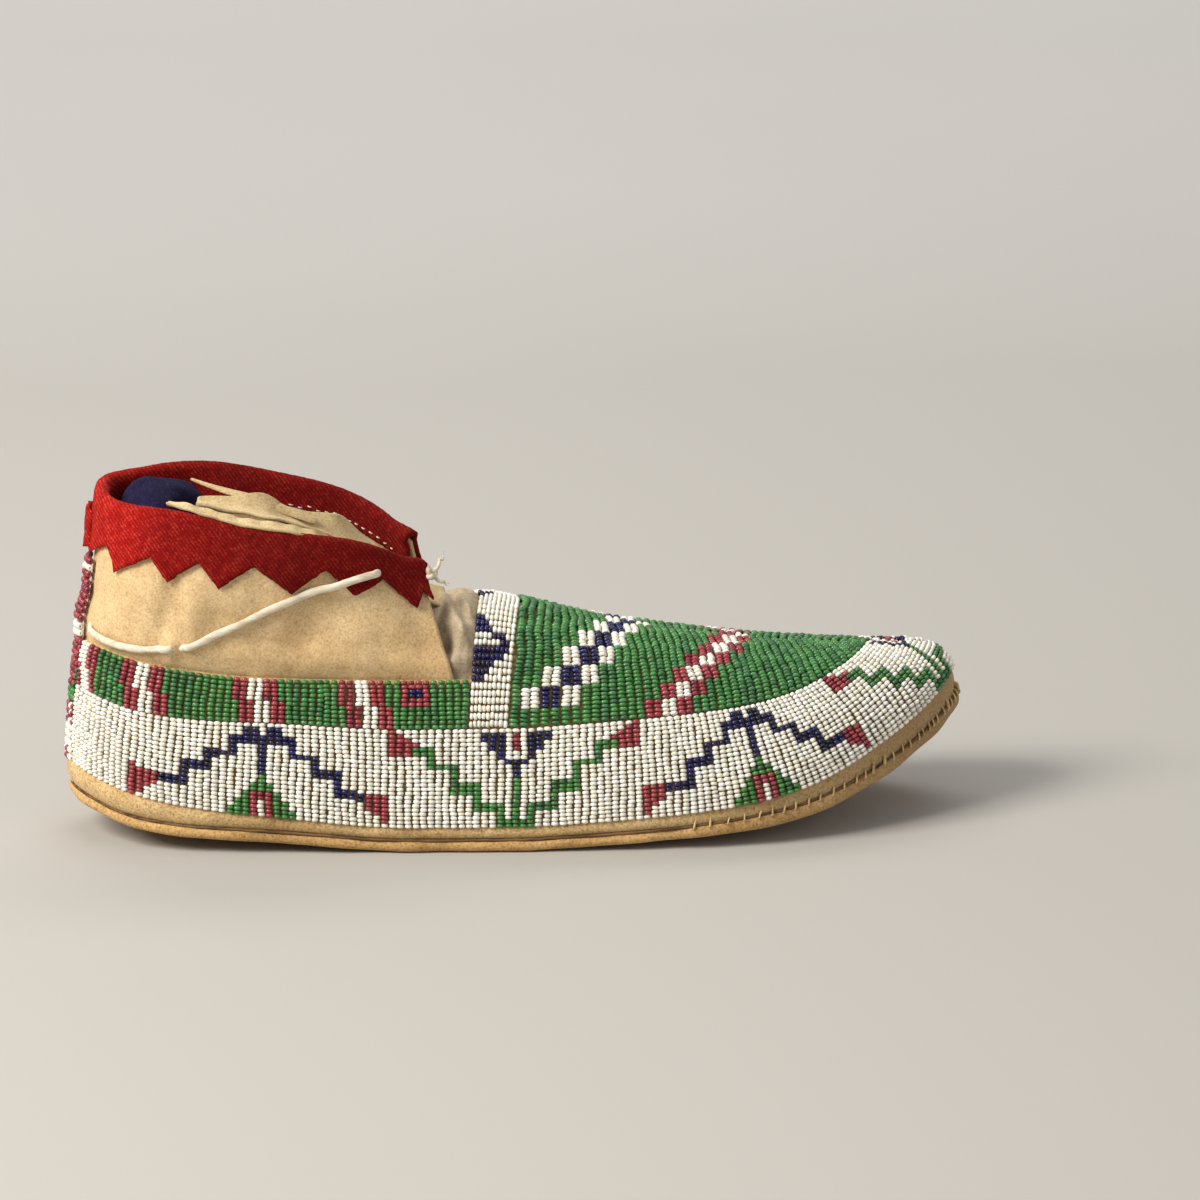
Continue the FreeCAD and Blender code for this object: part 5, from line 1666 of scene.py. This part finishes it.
# ---------------------------------------------------------------- sinew seam at the sole
def sole_seam(side):
    """A thread in the groove, and whip stitches over the front half."""
    draw = np.random.RandomState(55+side.sign)
    thread = []
    for l in np.linspace(0.8, side.length-0.8, 240):
        x, y = side.foot(l)
        out = side.outward(l)
        rise = 0.9*float(smooth(165, 205, x))
        thread.append((x-0.75*out[0], y-0.75*out[1], sole_z(x)+SOLE_THICK+0.30+rise))
    parts = [cord(np.array(thread)+draw.normal(0, 0.05, (240, 3)), 0.44, around=6)]
    l = side.l_at_x(178 if side is LAT else 170)
    while l < side.length-0.5:
        x, y = side.foot(l)
        out = side.outward3(l)
        z = sole_z(x)+SOLE_THICK+1.1*float(smooth(165, 205, x))
        along = np.array([-out[1], out[0], 0.0])*-side.sign
        big = draw.uniform() < 0.18
        lean = draw.uniform(0.3, 1.0)
        start = np.array([x, y, z-0.5])-out*0.1
        middle = np.array([x, y, z+0.75])-out*0.15+along*lean*0.4
        end = np.array([x, y, z+(2.4 if big else 1.6)])-out*0.95+along*lean
        path = spline_path([start-out*0.4, start+out*0.15, middle, end, end-out*0.5], 12)
        grow = 0.55+0.45*float(smooth(172, 205, x))
        parts.append(cord(path, (0.50 if big else 0.30)*grow, around=6))
        l += draw.uniform(2.2, 4.6)*(1+0.7*(1-float(smooth(172, 200, x))))
    # the thread takes the dark material, painted shade of the groove; all quads come before all end
    # triangles
    materials = np.concatenate([np.full(len(part[kind]), 1 if k == 0 else 0)
                                for kind in (1, 2) for k, part in enumerate(parts)])
    name = "seam_sole_"+side.word
    piece = build(name, parts, [SINEW, THREAD_IN_SHADE], merge=0, face_materials=materials)
    attach(piece, name)


for side in SIDES:
    sole_seam(side)


# ---------------------------------------------------------------- navy wool wad in the heel
def wool_liner():
    rows, around = 60, 96
    centre_x, centre_y = 25.6, 2.0
    squareness = 0.8
    grid = np.zeros((rows, around, 3))
    for i in range(rows):
        t = i/(rows-1)
        dome = math.sqrt(max(0.0, 1-((t-0.86)/0.14)**2)) if t > 0.86 else 1.0
        taper = (0.25+0.75*min(1, t/0.06))*max(dome, 0.03)
        half_x = np.interp(t, [0, .5, 1], [7.6, 8.8, 8.2])*taper
        half_y = np.interp(t, [0, .5, .85, 1], [12, 15, 15.0, 13])*taper
        for j in range(around):
            turn = 2*math.pi*j/around
            c, s = (math.copysign(abs(w)**squareness, w)
                    for w in (math.cos(turn), math.sin(turn)))
            grid[i, j] = (centre_x+half_x*c, centre_y+3.5*t*t+half_y*s, 30+71.5*t)
    points = grid.reshape(-1, 3)
    core = np.stack([np.full(len(points), centre_x), np.full(len(points), centre_y),
                     np.minimum(points[:, 2], 88)], -1)
    lumps = (1.5*noise3(points*np.array([1, 1, 0.55]), 0.11, 5.0)
             + 0.9*noise3(points, 0.27, 8.0)+0.30*noise3(points, 0.9, 2.0))
    points = points+unit(points-core)*lumps[:, None]
    # wider towards the toe, high on the medial side
    x = points[:, 0]
    wide = smooth(-5.0, 9.0, points[:, 1])*smooth(60, 80, points[:, 2])
    x = np.where(x > centre_x, centre_x+(x-centre_x)*(1+0.95*wide), x)
    points[:, 0] = np.clip(x, 16.2, 35.2+9.0*wide)
    grid = points.reshape(rows, around, 3)
    bottom, top = (np.tile(row.mean(0), (1, around, 1)) for row in (grid[0], grid[-1]))
    grid = np.concatenate([bottom, grid, top])
    piece = build("wool_liner", [(grid, grid_faces(rows+2, around, False, True))],
                  NAVY_WOOL, subdivisions=1)
    attach(piece, "wool_liner", part="liner")


wool_liner()


# ---------------------------------------------------------------- heel tabs
def heel_tab(side):
    """Short hide end standing beside the foot of the back seam."""
    l = 4.6
    out = side.outward3(l)
    x, y = side.foot(l)
    along = np.array([-out[1], out[0], 0.0])
    t = np.linspace(-1, 1, 7)
    outer, inner = [], []
    for u in np.linspace(0, 1, 9):
        half_width = np.interp(u, [0, 0.7, 1], [1.0, 2.1, 2.4])
        centre = (np.array([x, y, sole_z(x)+SOLE_THICK+1.2+5.0*u])
                  - out*(1.0-0.9*math.sin(math.pi*u*0.8))+out*0.6*(1-u))
        row = centre+along*(t*half_width)[:, None]
        outer.append(row+out*(0.5-0.25*t**2)[:, None])
        inner.append(row-out*0.5)
    name = "heel_tab_"+side.word
    piece = build(name, [shell(np.array(outer), np.array(inner))], LOWER_HIDE, merge=0.01,
                  subdivisions=1)
    attach(piece, name)


for side in SIDES:
    heel_tab(side)


# ---------------------------------------------------------------- floor, light and camera (metres)
def studio_floor():
    """Floor that curves up into a wall behind the shoe."""
    shader = Shader("studio_floor")
    y = shader.axis(1)
    cloud = shader.math("MULTIPLY", shader.noise(scale=3.0, detail=2.0), 0.06)
    # painted light: the colour brightens from the floor under the shoe to the wall behind
    colour = shader.ramp(shader.math("MULTIPLY_ADD", y, 0.55, cloud),
                         (0.0, srgb(176, 172, 165)), (0.35, srgb(184, 180, 174)),
                         (1.0, srgb(236, 233, 229)))
    material = shader.finish(Base_Color=colour, Roughness=0.75, Specular_IOR_Level=0.2)
    bend_y, radius, half_width, drop = 1.3, 1.1, 4.5, 0.0002
    profile = [(-3.0, 0.0), (bend_y, 0.0)]
    profile += [(bend_y+radius*math.sin(a), radius-radius*math.cos(a))
                for a in np.linspace(0, math.pi/2, 14)[1:]]
    profile.append((2.4, 4.0))
    points = [(x, y, z-drop) for y, z in profile for x in (-half_width, half_width)]
    faces = [(2*i, 2*i+1, 2*i+3, 2*i+2) for i in range(len(profile)-1)]
    mesh = bpy.data.meshes.new("studio_floor")
    mesh.from_pydata(points, [], faces)
    mesh.materials.append(material)
    floor = bpy.data.objects.new("studio_floor", mesh)
    bpy.context.scene.collection.objects.link(floor)
    mesh.polygons.foreach_set("use_smooth", np.ones(len(mesh.polygons), bool))


def area_light(name, location, target, size, power, colour):
    light = bpy.data.lights.new(name, "AREA")
    light.shape = "RECTANGLE"
    light.size, light.size_y = size
    light.energy = power
    light.color = colour
    ob = bpy.data.objects.new(name, light)
    bpy.context.scene.collection.objects.link(ob)
    ob.location = location
    aim = Vector(target)-Vector(location)
    ob.rotation_euler = aim.to_track_quat("-Z", "Y").to_euler()


def camera():
    turn, tilt, distance = math.radians(-5), math.radians(14), 2.3
    back = Vector((math.sin(turn)*math.cos(tilt), -math.cos(turn)*math.cos(tilt),
                   math.sin(tilt)))
    right = Vector((math.cos(turn), math.sin(turn), 0))
    up = right.cross(-back)
    aim = Vector(((130-ORIGIN_X)/1000, 0, 0.045))+right*0.0246+up*0.0188
    data = bpy.data.cameras.new("camera")
    ob = bpy.data.objects.new("camera", data)
    bpy.context.scene.collection.objects.link(ob)
    data.lens = 238.75
    data.sensor_width = 36.0
    data.clip_start = 0.05
    data.clip_end = 20
    ob.location = aim+back*distance
    ob.rotation_mode = "QUATERNION"
    ob.rotation_quaternion = (-back).to_track_quat("-Z", "Y")
    bpy.context.scene.camera = ob


studio_floor()
area_light("key", location=(-1.15, -0.60, 1.08), target=(0.0, 0.0, 0.04), size=(0.8, 0.8),
           power=38.0, colour=(1.0, 0.97, 0.92))
area_light("fill", location=(1.1, -1.1, 0.7), target=(0.02, 0.0, 0.04), size=(1.0, 0.8),
           power=3.0, colour=(0.97, 0.98, 1.0))
area_light("back_top", location=(0.1, 0.9, 1.35), target=(0.0, 0.05, 0.03), size=(1.3, 0.5),
           power=7.5, colour=(1.0, 0.99, 0.97))
world = bpy.data.worlds.new("studio")
bpy.context.scene.world = world
world.use_nodes = True
background = world.node_tree.nodes["Background"]
background.inputs["Color"].default_value = (0.90, 0.91, 0.93, 1)
background.inputs["Strength"].default_value = 0.46
camera()
bpy.context.scene.view_settings.view_transform = "Standard"
